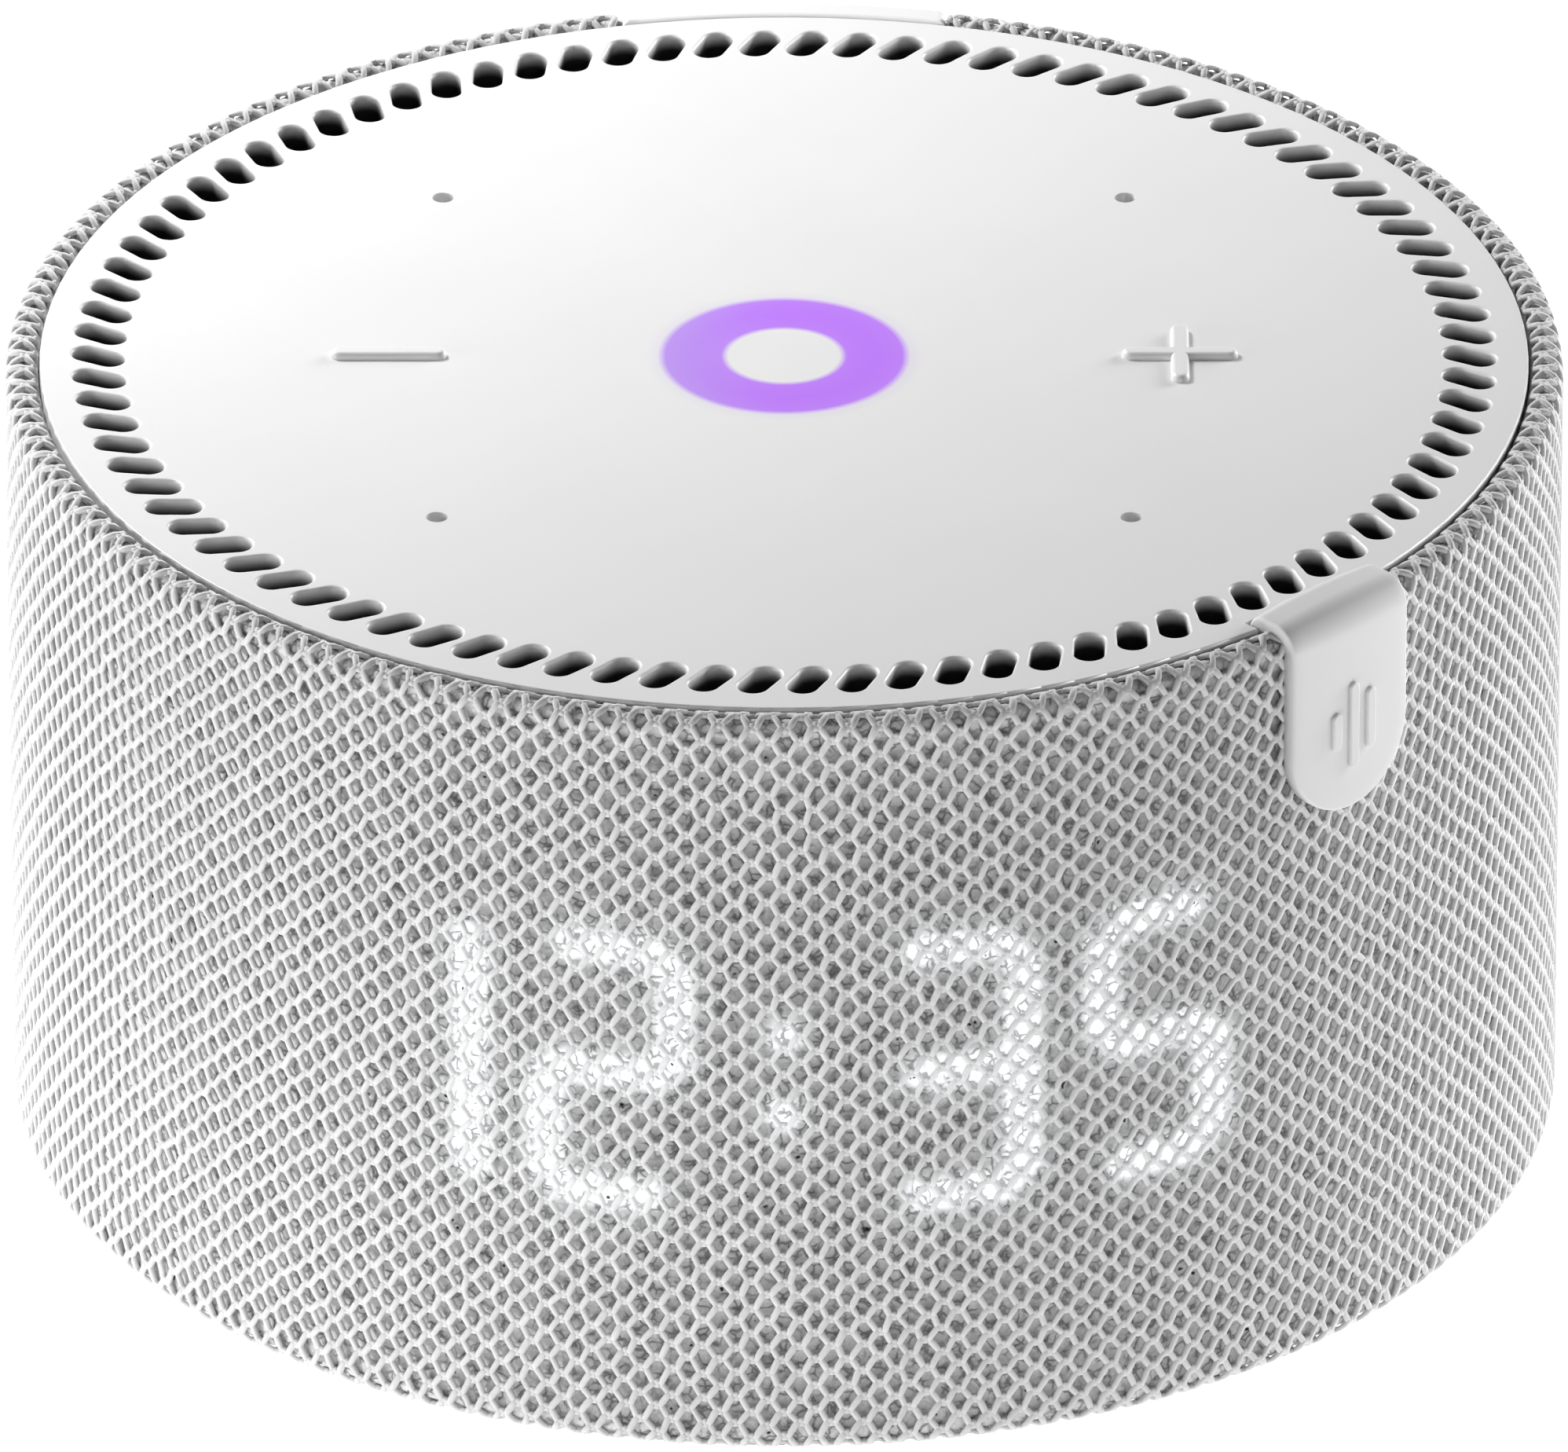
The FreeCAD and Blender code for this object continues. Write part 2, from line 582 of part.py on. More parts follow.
def make_top_plate():
    web_under = "plate_top - plate_web"
    rim_under = "plate_top - plate_thickness"
    body = turned("top_plate", [
        ("0", web_under),
        ("plate_web_radius", web_under),
        ("plate_web_radius", rim_under),
        ("plate_radius", rim_under),
        ("plate_radius", "plate_top"),
        ("0", "plate_top"),
    ])
    round_edges(body, "plate_edge_round", lambda edge: at_height(edge, "plate_top"))
    mics = new_sketch(body, "mic_hole", offset="plate_top")
    draw_circle(mics, "mic_hole_radius", "mic_offset", "mic_offset")
    repeat_round(body, pocket(body, mics), mics, "4")
    notch = new_sketch(body, "tag_notch", offset="plate_top", azimuth="tag_azimuth")
    draw_box(notch, "tag_root - fit_gap", "-tag_width / 2 - fit_gap", "body_radius", "tag_width / 2 + fit_gap")
    pocket(body, notch)
    for name, centre, angle in (("minus_mark", "-mark_offset", "0"), ("plus_mark", "mark_offset", "0"),
                                ("plus_mark_upright", "mark_offset", "90")):
        bar = new_sketch(body, name, offset="plate_top")
        draw_stadium(bar, "mark_length", "mark_width", x=centre, tilt=angle)
        pad(body, bar, "mark_height")
    round_edges(body, "mark_round", lambda edge: at_height(edge, "plate_top + mark_height"))
    tab = new_sketch(body, "plate_tab", offset=rim_under)
    draw_box(tab, "tab_radius", "-tab_width / 2", "tab_radius + tab_thickness", "tab_width / 2")
    repeat_round(body, pad(body, tab, "tab_depth", downward=True), tab, "tab_count")
    post = new_sketch(body, "touch_board_post", offset=web_under)
    draw_circle(post, "touch_post_radius", "0", "touch_post_offset")
    post_length = f"{web_under} - touch_board_top - seat_gap"
    repeat_round(body, pad(body, post, post_length, downward=True), post, "4")
    pilot = new_sketch(body, "touch_board_pilot", offset="touch_board_top")
    draw_circle(pilot, "small_screw_radius + seat_gap", "0", "touch_post_offset")
    repeat_round(body, pocket(body, pilot, "plate_web", upward=True), pilot, "4")
    vents = new_sketch(body, "vent", offset="plate_top")
    draw_stadium(vents, "vent_length", "vent_width", x="vent_ring_radius", tilt="-vent_tilt")
    repeat_round(body, pocket(body, vents), vents, "vent_count")
    ring = value("vent_ring_radius")
    reach = value("vent_length / 2 + vent_lip")

    def is_vent_mouth(edge):
        return at_height(edge, "plate_top") and abs(edge_radius(edge) - ring) < reach

    round_edges(body, "vent_lip", is_vent_mouth)


def make_fabric_sleeve():
    wall = "body_radius - fabric_thickness"
    opening = "plate_radius + fit_gap"
    hem_inner = "base_radius + fit_gap"
    body = turned("fabric_sleeve", [
        (hem_inner, "fabric_bottom"),
        ("body_radius", "fabric_bottom"),
        ("body_radius", "body_top"),
        (opening, "body_top"),
        (opening, "body_top - fabric_lip"),
        (wall, "body_top - fabric_lip"),
        (wall, "fabric_bottom + fabric_hem"),
        (hem_inner, "fabric_bottom + fabric_hem"),
    ])

    def is_lower_rim(edge):
        return at_height(edge, "fabric_bottom") and is_ring(edge, "body_radius")

    round_edges(body, "fabric_thickness - 2 * fit_gap", lambda edge: at_height(edge, "body_top"))
    round_edges(body, "fabric_hem - fit_gap", is_lower_rim)
    rear = new_sketch(body, "rear_gap")
    draw_box(rear, "-panel_half - fit_gap", "shell_inner / 2", "panel_half + fit_gap", "body_radius * 2")
    pocket(body, rear, upward=True)
    under_tag = "tag_face - tag_thickness - fit_gap"
    for name, floor, inner in (
            ("tag_crossing", "tag_top - tag_thickness - fit_gap", "shell_inner"),
            ("tag_bend_gap", "tag_top - tag_bend", "tag_face - tag_bend"),
            ("tag_seat", "tag_bottom - fit_gap", under_tag)):
        gap = new_sketch(body, name, offset=floor, azimuth="tag_azimuth")
        draw_box(gap, inner, "-tag_width / 2 - fit_gap", "body_radius * 2", "tag_width / 2 + fit_gap")
        pocket(body, gap, upward=True)


def make_side_shell():
    rim_inner = "plate_radius + 2 * fit_gap"
    body = turned("side_shell", [
        ("shell_inner", "shell_bottom"),
        ("shell_radius", "shell_bottom"),
        ("shell_radius", "shell_top"),
        (rim_inner, "shell_top"),
        (rim_inner, "shell_ledge"),
        ("shell_inner", "shell_ledge"),
    ])
    window = new_sketch(body, "display_window", "XZ_Plane")
    draw_box(window, "-window_half", "window_bottom", "window_half", "window_top")
    pocket(body, window, upward=True)
    rear = new_sketch(body, "rear_opening", "XZ_Plane")
    draw_box(rear, "-panel_half - fit_gap", "0", "panel_half + fit_gap", "body_top")
    pocket(body, rear)
    boss = new_sketch(body, "screw_boss", offset="base_top + fit_gap", azimuth="45")
    draw_box(boss, "boss_radius - boss_width / 2", "-boss_width / 2",
             "shell_inner + boss_root", "boss_width / 2")
    repeat_round(body, pad(body, boss, "boss_top - base_top - fit_gap"), boss, "4")
    pilot = new_sketch(body, "screw_pilot", offset="base_top", azimuth="45")
    draw_circle(pilot, "screw_radius + seat_gap", "boss_radius", "0")
    repeat_round(body, pocket(body, pilot, "boss_top - base_top - screw_end_gap", upward=True), pilot, "4")


STEM_SLOT_HALF = "(stem_length + slider_travel) / 2 + slider_play"
STEM_SLOT_RISE = "stem_height / 2 + slider_play"


def make_rear_panel():
    """White insert that closes the back, with the microphone switch, the audio jack and the power inlet."""
    body = new_body("rear_panel")
    lower = new_sketch(body, "panel_wall", offset="panel_bottom")
    draw_sector(lower, "shell_inner + seat_gap", "body_radius", "panel_half", 1)
    pad(body, lower, "shell_ledge - fit_gap - panel_bottom")
    upper = new_sketch(body, "panel_head", offset="shell_ledge - fit_gap")
    draw_sector(upper, "plate_radius + fit_gap", "body_radius", "panel_half", 1)
    pad(body, upper, "plate_top - shell_ledge + fit_gap")

    def is_outer(edge):
        return at_height(edge, "plate_top") or (edge_radius(edge) > value("shell_radius") and is_upright(edge))

    round_edges(body, "panel_edge_round", is_outer)
    recess = new_sketch(body, "slider_recess", "XZ_Plane", offset="-slider_floor")
    recess_half = "(slider_length + slider_travel) / 2 + slider_play"
    recess_rise = "slider_height / 2 + slider_play"
    draw_box(recess, f"-({recess_half})", f"slider_z - ({recess_rise})",
             recess_half, f"slider_z + {recess_rise}")
    pocket(body, recess)
    slot = new_sketch(body, "slider_slot", "XZ_Plane")
    draw_box(slot, f"-({STEM_SLOT_HALF})", f"slider_z - ({STEM_SLOT_RISE})",
             STEM_SLOT_HALF, f"slider_z + {STEM_SLOT_RISE}")
    pocket(body, slot)
    jack = new_sketch(body, "jack_hole", "XZ_Plane")
    draw_circle(jack, "jack_barrel + fit_gap", "0", "jack_z")
    pocket(body, jack)
    inlet = new_sketch(body, "inlet_hole", "XZ_Plane")
    draw_stadium(inlet, "inlet_length + 2 * inlet_gap", "inlet_width + 2 * inlet_gap", y="inlet_z")
    pocket(body, inlet)
    well = new_sketch(body, "plug_well", "XZ_Plane", offset="-well_floor")
    draw_stadium(well, "well_length", "well_width", y="inlet_z")
    pocket(body, well)


def make_base_cover():
    recess = "foot_thickness + seat_gap"
    body = turned("base_cover", [
        ("0", "base_bottom"),
        ("foot_inner - fit_gap", "base_bottom"),
        ("foot_inner - fit_gap", recess),
        ("foot_outer + fit_gap", recess),
        ("foot_outer + fit_gap", "base_bottom"),
        ("base_radius", "base_bottom"),
        ("base_radius", "base_top"),
        ("0", "base_top"),
    ])
    post = new_sketch(body, "board_post", offset="base_top")
    draw_circle(post, "post_radius", "post_offset", "post_offset")
    repeat_round(body, pad(body, post, "main_board_z - seat_gap - base_top"), post, "4")
    for name, centre in (("post", "post_offset * sqrt(2)"), ("boss", "boss_radius")):
        head = new_sketch(body, name + "_counterbore", offset="base_bottom", azimuth="45")
        draw_circle(head, "screw_head_radius + 2 * fit_gap", centre, "0")
        repeat_round(body, pocket(body, head, "screw_head_top - base_bottom", upward=True), head, "4")
        bore = new_sketch(body, name + "_bore", azimuth="45")
        draw_circle(bore, "screw_radius + 2 * fit_gap", centre, "0")
        repeat_round(body, pocket(body, bore, upward=True), bore, "4")


def make_foot_ring():
    body = turned("foot_ring", tube_outline("foot_outer", "foot_inner", "0", "foot_thickness"))
    round_edges(body, "foot_round", lambda edge: at_height(edge, "0"))


def make_fabric_tag():
    """Soft strap that leaves the notch in the plate, bends over the rim and hangs outside the fabric."""
    body = new_body("fabric_tag")
    back = "tag_face - tag_thickness"
    under = "tag_top - tag_thickness"
    root_face = "tag_root + tag_thickness - 2 * fit_gap"
    strap = new_sketch(body, "strap", "XZ_Plane")
    draw_outline(strap, [
        ("tag_root", "shell_ledge + fit_gap"),
        ("tag_root", "tag_top"),
        ("tag_face", "tag_top"),
        ("tag_face", "tag_bottom"),
        (back, "tag_bottom"),
        (back, under),
        (root_face, under),
        (root_face, "shell_ledge + fit_gap"),
    ])
    pad(body, strap, "tag_width", both_ways=True)

    def is_bend(edge, x, z):
        box = edge.BoundBox
        return box.YLength > 1 and abs(box.Center.x - value(x)) < SAME_PLACE and at_height(edge, z)

    def is_end_corner(edge):
        return at_height(edge, "tag_bottom") and edge.BoundBox.YLength < 1

    def is_face_outline(edge):
        box = edge.BoundBox
        on_face = abs(box.XMin - value("tag_face")) < SAME_PLACE and box.XLength < SAME_PLACE
        return on_face and box.ZLength > SAME_PLACE

    round_edges(body, "tag_bend", lambda edge: is_bend(edge, "tag_face", "tag_top"))
    round_edges(body, "tag_root_bend", lambda edge: is_bend(edge, "tag_root", "tag_top"))
    round_edges(body, "tag_bend - tag_thickness", lambda edge: is_bend(edge, back, under))
    round_edges(body, "tag_end_round", is_end_corner)
    round_edges(body, "tag_edge_round", is_face_outline)
    for i, length in enumerate(("mark_short", "mark_long", "mark_middle")):
        bar = new_sketch(body, f"tag_mark_{i}", "YZ_Plane", offset="tag_face")
        draw_stadium(bar, length, "tag_mark_width", x=f"({i} - 1) * tag_mark_pitch", y="tag_mark_z", tilt="90")
        pad(body, bar, "tag_mark_height")
    turn_about_z(body, "tag_azimuth")


def make_screw(name, x, y, head_bottom, head_radius, head_height, shank_radius, shank_length, head_below=True):
    """Screw along Z. Its head is below the shank, or above it."""
    head = rod(name + "_head", head_radius, head_height, x, y, head_bottom)
    shank_bottom = f"{head_bottom} + {head_height}" if head_below else f"{head_bottom} - ({shank_length})"
    shank = rod(name + "_shank", shank_radius, shank_length, x, y, shank_bottom)
    return fuse(name, [head, shank])


def make_base_screws():
    """Screws from below: four into the side shell, and four through the base's posts and the main board."""
    for name, offset, length in (
            ("base_screw", "boss_radius / sqrt(2)", "boss_top - 2 * screw_end_gap - screw_head_top"),
            ("board_screw", "post_offset", "box_bottom - screw_head_top")):
        def long_screw(screw_name, x, y):
            return make_screw(screw_name, x, y, "foot_thickness + 2 * seat_gap", "screw_head_radius",
                              "screw_head_height", "screw_radius", length)

        group(name + "s", four_corners(name, offset, long_screw))


# --- touch controls, ring light and microphones, under the top plate ---

def make_touch_board():
    body = new_body("touch_board")
    disc = new_sketch(body, "touch_disc", offset="touch_board_z")
    draw_circle(disc, "touch_board_radius")
    pad(body, disc, "touch_board_top - touch_board_z")
    hole = new_sketch(body, "touch_screw_hole", offset="touch_board_top")
    draw_circle(hole, "small_screw_radius + 2 * fit_gap", "0", "touch_post_offset")
    repeat_round(body, pocket(body, hole), hole, "4")


def make_touch_screws():
    places = [("0", "touch_post_offset"), ("touch_post_offset", "0"),
              ("0", "-touch_post_offset"), ("-touch_post_offset", "0")]
    head_bottom = "touch_board_z - seat_gap - small_head_height"
    group("touch_board_screws", [
        make_screw(f"touch_screw_{i}", x, y, head_bottom, "small_head_radius", "small_head_height",
                   "small_screw_radius", "touch_screw_length")
        for i, (x, y) in enumerate(places, start=1)])


def make_ring_light():
    low = "touch_board_top + ring_light_rise"
    tube("ring_light_guide", "ring_light_outer", "ring_light_inner", low, "plate_top - plate_web - seat_gap")
    outward = "(ring_light_inner + ring_light_outer + led_width) / 2"
    group("status_leds", [
        turned_block(f"status_led_{i}", f"{i} * 360 / ring_led_count", "-led_length / 2", f"-{outward}",
                     "touch_board_top + seat_gap", "led_length", "led_width", "led_height")
        for i in range(int(value("ring_led_count")))])


def make_microphones():
    low = "touch_board_top + seat_gap"
    gasket_low = f"{low} + mic_height + seat_gap"
    gasket_height = f"plate_top - plate_web - seat_gap - ({gasket_low})"

    def capsule(name, x, y):
        return middle_block(name, x, y, low, "mic_length", "mic_width", "mic_height")

    def gasket(name, x, y):
        return cut(name, rod(name + "_body", "gasket_radius", gasket_height, x, y, gasket_low),
                   rod(name + "_hole", "gasket_hole", gasket_height, x, y, gasket_low))

    group("microphones", four_corners("microphone", "mic_offset", capsule))
    group("mic_gaskets", four_corners("mic_gasket", "mic_offset", gasket))


def make_vent_mesh():
    top = "shell_ledge - seat_gap"
    tube("vent_dust_mesh", "tab_radius - fit_gap", "dust_mesh_inner", f"{top} - dust_mesh_thickness", top)


# --- clock: curved light frame, diffuser, board and lamps ---

def digit_cells():
    """Middle and size of every light cell, as formulas: seven segments for each digit, and the colon's dots."""
    cells = []
    upright = ("segment_width", "digit_height / 2 - segment_width - segment_wall")
    level = ("digit_width - segment_width - segment_wall", "segment_width")
    for centre in ("-digit_outer_x", "-digit_inner_x", "digit_inner_x", "digit_outer_x"):
        for rise in ("-digit_height / 2", "0", "digit_height / 2"):
            cells.append((centre, f"digit_z + {rise}", *level))
        for side in ("-digit_width / 2", "digit_width / 2"):
            for rise in ("-digit_height / 4", "digit_height / 4"):
                cells.append((f"{centre} + {side}", f"digit_z + {rise}", *upright))
    for rise in ("-colon_half", "colon_half"):
        cells.append(("0", f"digit_z + {rise}", "segment_width", "segment_width"))
    return cells


def make_display():
    low = "window_bottom + 2 * fit_gap"
    tall = "window_top - window_bottom - 4 * fit_gap"
    diffuser_inner = "shell_radius - diffuser_thickness"

    def curved(name, inner, outer, is_node=True):
        body = new_body(name, is_node)
        plan = new_sketch(body, name + "_plan", offset=low)
        draw_sector(plan, inner, outer, "window_half - 2 * fit_gap", -1)
        pad(body, plan, tall)
        return body

    blank = curved("light_frame_blank", "light_frame_inner", f"{diffuser_inner} - seat_gap", is_node=False)
    cells = [block(f"light_cell_{i}", f"{x} - ({width}) / 2", "-body_radius", f"{z} - ({height}) / 2",
                   width, "body_radius / 2", height)
             for i, (x, z, width, height) in enumerate(digit_cells())]
    keep(cut("display_light_frame", blank, fuse("light_cells", cells)), "display_light_frame")
    curved("display_diffuser", diffuser_inner, "shell_radius")
    curved("display_board", "display_board_outer - display_board_thickness", "display_board_outer")
    lamp_foot = "(display_board_outer + seat_gap)"
    lamp_size = ("led_length", "led_height", "led_width")
    group("display_leds", [
        turned_block(f"display_led_{i}", f"asin(({x}) / {lamp_foot}) / 1deg", "-led_length / 2",
                     f"-{lamp_foot} - led_height", f"{z} - led_width / 2", *lamp_size)
        for i, (x, z, width, height) in enumerate(digit_cells())])


# --- rear ports ---

PORT_PARTS_FRONT = "port_board_y + port_board_thickness + seat_gap"


def make_ports():
    keep(block("port_board", "-port_board_half", "port_board_y", "port_board_low", "2 * port_board_half",
               "port_board_thickness", "port_board_high - port_board_low"), "port_board")
    switch = block("mute_switch_body", "-switch_length / 2", PORT_PARTS_FRONT, "slider_z - switch_height / 2",
                   "switch_length", f"stem_end + switch_cover - ({PORT_PARTS_FRONT})", "switch_height")
    slot_depth = "switch_cover + 2 * switch_slot_depth"
    slot = block("mute_switch_slot", f"-({STEM_SLOT_HALF})", "stem_end - switch_slot_depth",
                 f"slider_z - ({STEM_SLOT_RISE})", f"2 * ({STEM_SLOT_HALF})", slot_depth,
                 f"2 * ({STEM_SLOT_RISE})")
    keep(cut("mute_switch", switch, slot), "mute_switch")
    nose_length = f"body_radius - jack_sink - ({PORT_PARTS_FRONT})"
    block_depth = f"shell_inner - fit_gap - ({PORT_PARTS_FRONT})"
    jack = fuse("audio_jack_outside", [
        block("audio_jack_block", "-jack_block / 2", PORT_PARTS_FRONT, "jack_z - jack_block / 2", "jack_block",
              block_depth, "jack_block"),
        rod_along_y("audio_jack_nose", "jack_barrel", nose_length, "0", PORT_PARTS_FRONT, "jack_z"),
    ])
    bore_end = f"{PORT_PARTS_FRONT} + jack_floor"
    bore = rod_along_y("audio_jack_bore", "jack_bore", nose_length, "0", bore_end, "jack_z")
    keep(cut("audio_jack", jack, bore), "audio_jack")


def make_power_inlet():
    body = new_body("power_inlet")
    shell = new_sketch(body, "inlet_shell", "XZ_Plane", offset=f"-({PORT_PARTS_FRONT})")
    draw_stadium(shell, "inlet_length", "inlet_width", y="inlet_z")
    pad(body, shell, f"well_floor - inlet_sink - ({PORT_PARTS_FRONT})", downward=True)
    cavity = new_sketch(body, "inlet_cavity", "XZ_Plane", offset=f"-({PORT_PARTS_FRONT}) - inlet_floor")
    draw_stadium(cavity, "inlet_length - 2 * inlet_wall", "inlet_width - 2 * inlet_wall", y="inlet_z")
    pocket(body, cavity)
    tongue = new_sketch(body, "inlet_tongue", "XZ_Plane", offset=f"-({PORT_PARTS_FRONT}) - inlet_floor / 2")
    draw_box(tongue, "-tongue_length / 2", "inlet_z - tongue_thickness / 2",
             "tongue_length / 2", "inlet_z + tongue_thickness / 2")
    pad(body, tongue, "tongue_reach + inlet_floor / 2", downward=True)


def make_mute_slider():
    """Knob of the microphone switch, at the left end of its travel as seen from the front."""
    body = new_body("mute_slider")
    middle = "-slider_travel / 2"
    knob_back = "slider_floor + slider_play - seat_gap"
    knob = new_sketch(body, "knob", "XZ_Plane", offset=f"-({knob_back})")
    draw_box(knob, f"{middle} - slider_length / 2", "slider_z - slider_height / 2",
             f"{middle} + slider_length / 2", "slider_z + slider_height / 2")
    pad(body, knob, "knob_depth", downward=True)
    face = value(f"{knob_back} + knob_depth")
    round_edges(body, "knob_round", lambda edge: abs(edge.BoundBox.YMin - face) < SAME_PLACE)
    for i in (-1, 0, 1):
        ridge = new_sketch(body, f"grip_ridge_{i + 1}", "XZ_Plane", offset=f"-({knob_back} + knob_depth)")
        draw_stadium(ridge, "slider_height - 2 * knob_round", "ridge_width", x=f"{middle} + {i} * ridge_pitch",
                     y="slider_z", tilt="90")
        pad(body, ridge, "ridge_height", downward=True)
    stem = new_sketch(body, "stem", "XZ_Plane", offset=f"-({knob_back})")
    draw_box(stem, f"{middle} - stem_length / 2", "slider_z - stem_height / 2",
             f"{middle} + stem_length / 2", "slider_z + stem_height / 2")
    pad(body, stem, f"{knob_back} - stem_end")


# --- speaker ---

def make_speaker_box():
    body = turned("speaker_box", [
        ("0", "box_bottom"),
        ("box_radius", "box_bottom"),
        ("box_radius", "box_top"),
        ("box_radius - box_wall", "box_top"),
        ("box_radius - box_wall", "box_bottom + box_wall"),
        ("0", "box_bottom + box_wall"),
    ])
    leg = new_sketch(body, "box_leg", offset="box_bottom")
    draw_circle(leg, "post_radius", "post_offset", "post_offset")
    leg_length = "box_bottom - main_board_z - board_thickness - seat_gap"
    repeat_round(body, pad(body, leg, leg_length, downward=True), leg, "4")
    pilot = new_sketch(body, "leg_pilot", offset="main_board_z")
    draw_circle(pilot, "screw_radius + seat_gap", "post_offset", "post_offset")
    pilot_length = "box_bottom + screw_end_gap - main_board_z"
    repeat_round(body, pocket(body, pilot, pilot_length, upward=True), pilot, "4")


def make_baffle():
    outline = tube_outline("main_board_radius", "driver_hole", "box_top + seat_gap", "baffle_top")
    body = turned("speaker_baffle", outline)
    hole = new_sketch(body, "driver_screw_hole", offset="baffle_top", azimuth="45")
    draw_circle(hole, "small_screw_radius + seat_gap", "driver_screw_offset", "0")
    repeat_round(body, pocket(body, hole), hole, "4")


def make_driver():
    flange_low = "baffle_top + seat_gap"
    flange_high = f"{flange_low} + flange_thickness"
    floor_low = "washer_top + seat_gap"
    floor_high = f"{floor_low} + basket_floor_thickness"
    body = turned("driver_basket", [
        ("driver_flange", flange_low),
        ("driver_flange", flange_high),
        ("basket_top_inner", flange_high),
        ("basket_step_inner", "basket_step_z"),
        ("basket_floor_turn", floor_high),
        ("basket_floor_inner", floor_high),
        ("basket_floor_inner", floor_low),
        ("basket_floor_outer", floor_low),
        ("basket_neck", flange_low),
    ])
    window = new_sketch(body, "basket_window", offset=flange_high)
    draw_stadium(window, "basket_window_length", "basket_window_width", x="basket_window_middle", tilt="90")
    repeat_round(body, pocket(body, window), window, "4")
    hole = new_sketch(body, "flange_hole", offset=flange_high, azimuth="45")
    draw_circle(hole, "small_screw_radius + fit_gap", "driver_screw_offset", "0")
    repeat_round(body, pocket(body, hole), hole, "4")
    tube("driver_washer", "washer_radius", "washer_hole", "magnet_top + seat_gap", "washer_top")
    tube("driver_magnet", "magnet_radius", "magnet_hole", "yoke_plate_top + seat_gap", "magnet_top")
    turned("driver_yoke", [
        ("0", "yoke_bottom"),
        ("yoke_radius", "yoke_bottom"),
        ("yoke_radius", "yoke_plate_top"),
        ("yoke_pole", "yoke_plate_top"),
        ("yoke_pole", "washer_top"),
        ("0", "washer_top"),
    ])

    def short_screw(name, x, y):
        return make_screw(name, x, y, f"{flange_high} + seat_gap", "small_head_radius", "small_head_height",
                          "small_screw_radius", "driver_screw_length", head_below=False)

    group("driver_screws", four_corners("driver_screw", "driver_screw_offset / sqrt(2)", short_screw))


def make_cone():
    """The moving half of the driver, at the middle of its stroke, with its two soft suspensions."""
    tube("voice_coil", "coil_outer", "coil_inner", "coil_bottom", "coil_top")
    inside = "coil_outer + seat_gap"
    turned("driver_cone", [
        (inside, "coil_top - cone_thickness"),
        ("cone_radius", "cone_rim - cone_thickness"),
        ("cone_radius", "cone_rim"),
        (inside, "coil_top"),
    ])
    balls = []
    for name, radius in (("cap_outer", "cap_curve"), ("cap_inner", "cap_curve - cap_thickness")):
        ball = doc.addObject("Part::Sphere", name)
        bind(ball, Radius=radius)
        balls.append(place(ball, z="coil_top + cap_rise - cap_curve"))
    above_coil = rod("cap_trim", "coil_outer", "cap_rise", z="coil_top + cap_rim")
    keep(common("dust_cap", cut("cap_shell", *balls), above_coil), "dust_cap")
    rolls = []
    for name, radius in (("roll_outer", "surround_roll"), ("roll_inner", "surround_roll - surround_thickness")):
        roll = doc.addObject("Part::Torus", name)
        bind(roll, Radius1="surround_middle", Radius2=radius)
        rolls.append(place(roll, z="cone_rim"))
    upper_half = rod("roll_trim", "driver_hole", "2 * surround_roll", z="cone_rim")
    keep(common("driver_surround", cut("roll_shell", *rolls), upper_half), "driver_surround")
    tube("driver_spider", "washer_radius", "spider_inner", "spider_z", "spider_z + spider_thickness")


# --- electronics ---

def make_main_board():
    body = new_body("main_board")
    disc = new_sketch(body, "main_disc", offset="main_board_z")
    draw_circle(disc, "main_board_radius")
    pad(body, disc, "board_thickness")
    hole = new_sketch(body, "main_board_hole", offset="board_top")
    draw_circle(hole, "screw_radius + 2 * fit_gap", "post_offset", "post_offset")
    repeat_round(body, pocket(body, hole), hole, "4")


def make_board_parts():
    on_board = "board_top + seat_gap"
    keep(middle_block("processor", "0", "0", on_board, "chip_width", "chip_width", "chip_height"), "processor")
    can = middle_block("shield_can_outside", "0", "0", on_board, "can_width", "can_width", "can_height")
    inside = "can_width - 2 * can_wall"
    hollow = middle_block("shield_can_inside", "0", "0", on_board, inside, inside, "can_height - can_wall")
    keep(cut("shield_can", can, hollow), "shield_can")
    keep(middle_block("heat_spreader", "0", "0", f"{on_board} + can_height + seat_gap", "spreader_length",
                      "spreader_width", "spreader_thickness"), "heat_spreader")
    coil = ("inductor_width", "inductor_width", "inductor_height")
    socket = ("socket_length", "socket_width", "socket_height")
    group("board_components", [
        rod("capacitor_1", "capacitor_radius", "capacitor_height", "capacitor_x", "capacitor_y", on_board),
        rod("capacitor_2", "capacitor_radius", "capacitor_height", "capacitor_x", "-capacitor_y", on_board),
        middle_block("inductor", "-inductor_x", "0", on_board, *coil),
        middle_block("display_socket", "0", "display_socket_y", on_board, *socket),
        middle_block("port_socket", "0", "port_socket_y", on_board, *socket),
    ])
    keep(rod("ballast_plate", "ballast_radius", "ballast_thickness", z="base_top + fit_gap"), "ballast_plate")
    antenna_middle = "box_radius + 1.5 * antenna_thickness"
    group("antennas", [
        middle_block(name, x, "0", "box_bottom + antenna_rise", "antenna_thickness", "antenna_width",
                     "antenna_height")
        for name, x in (("antenna_right", antenna_middle), ("antenna_left", f"-({antenna_middle})"))])
    lead_length = "box_bottom - board_top - 4 * seat_gap"
    group("speaker_leads", [
        rod(name, "lead_radius", lead_length, x, "lead_y", f"{on_board} + seat_gap")
        for name, x in (("speaker_lead_1", "lead_x - lead_half"), ("speaker_lead_2", "lead_x + lead_half"))])


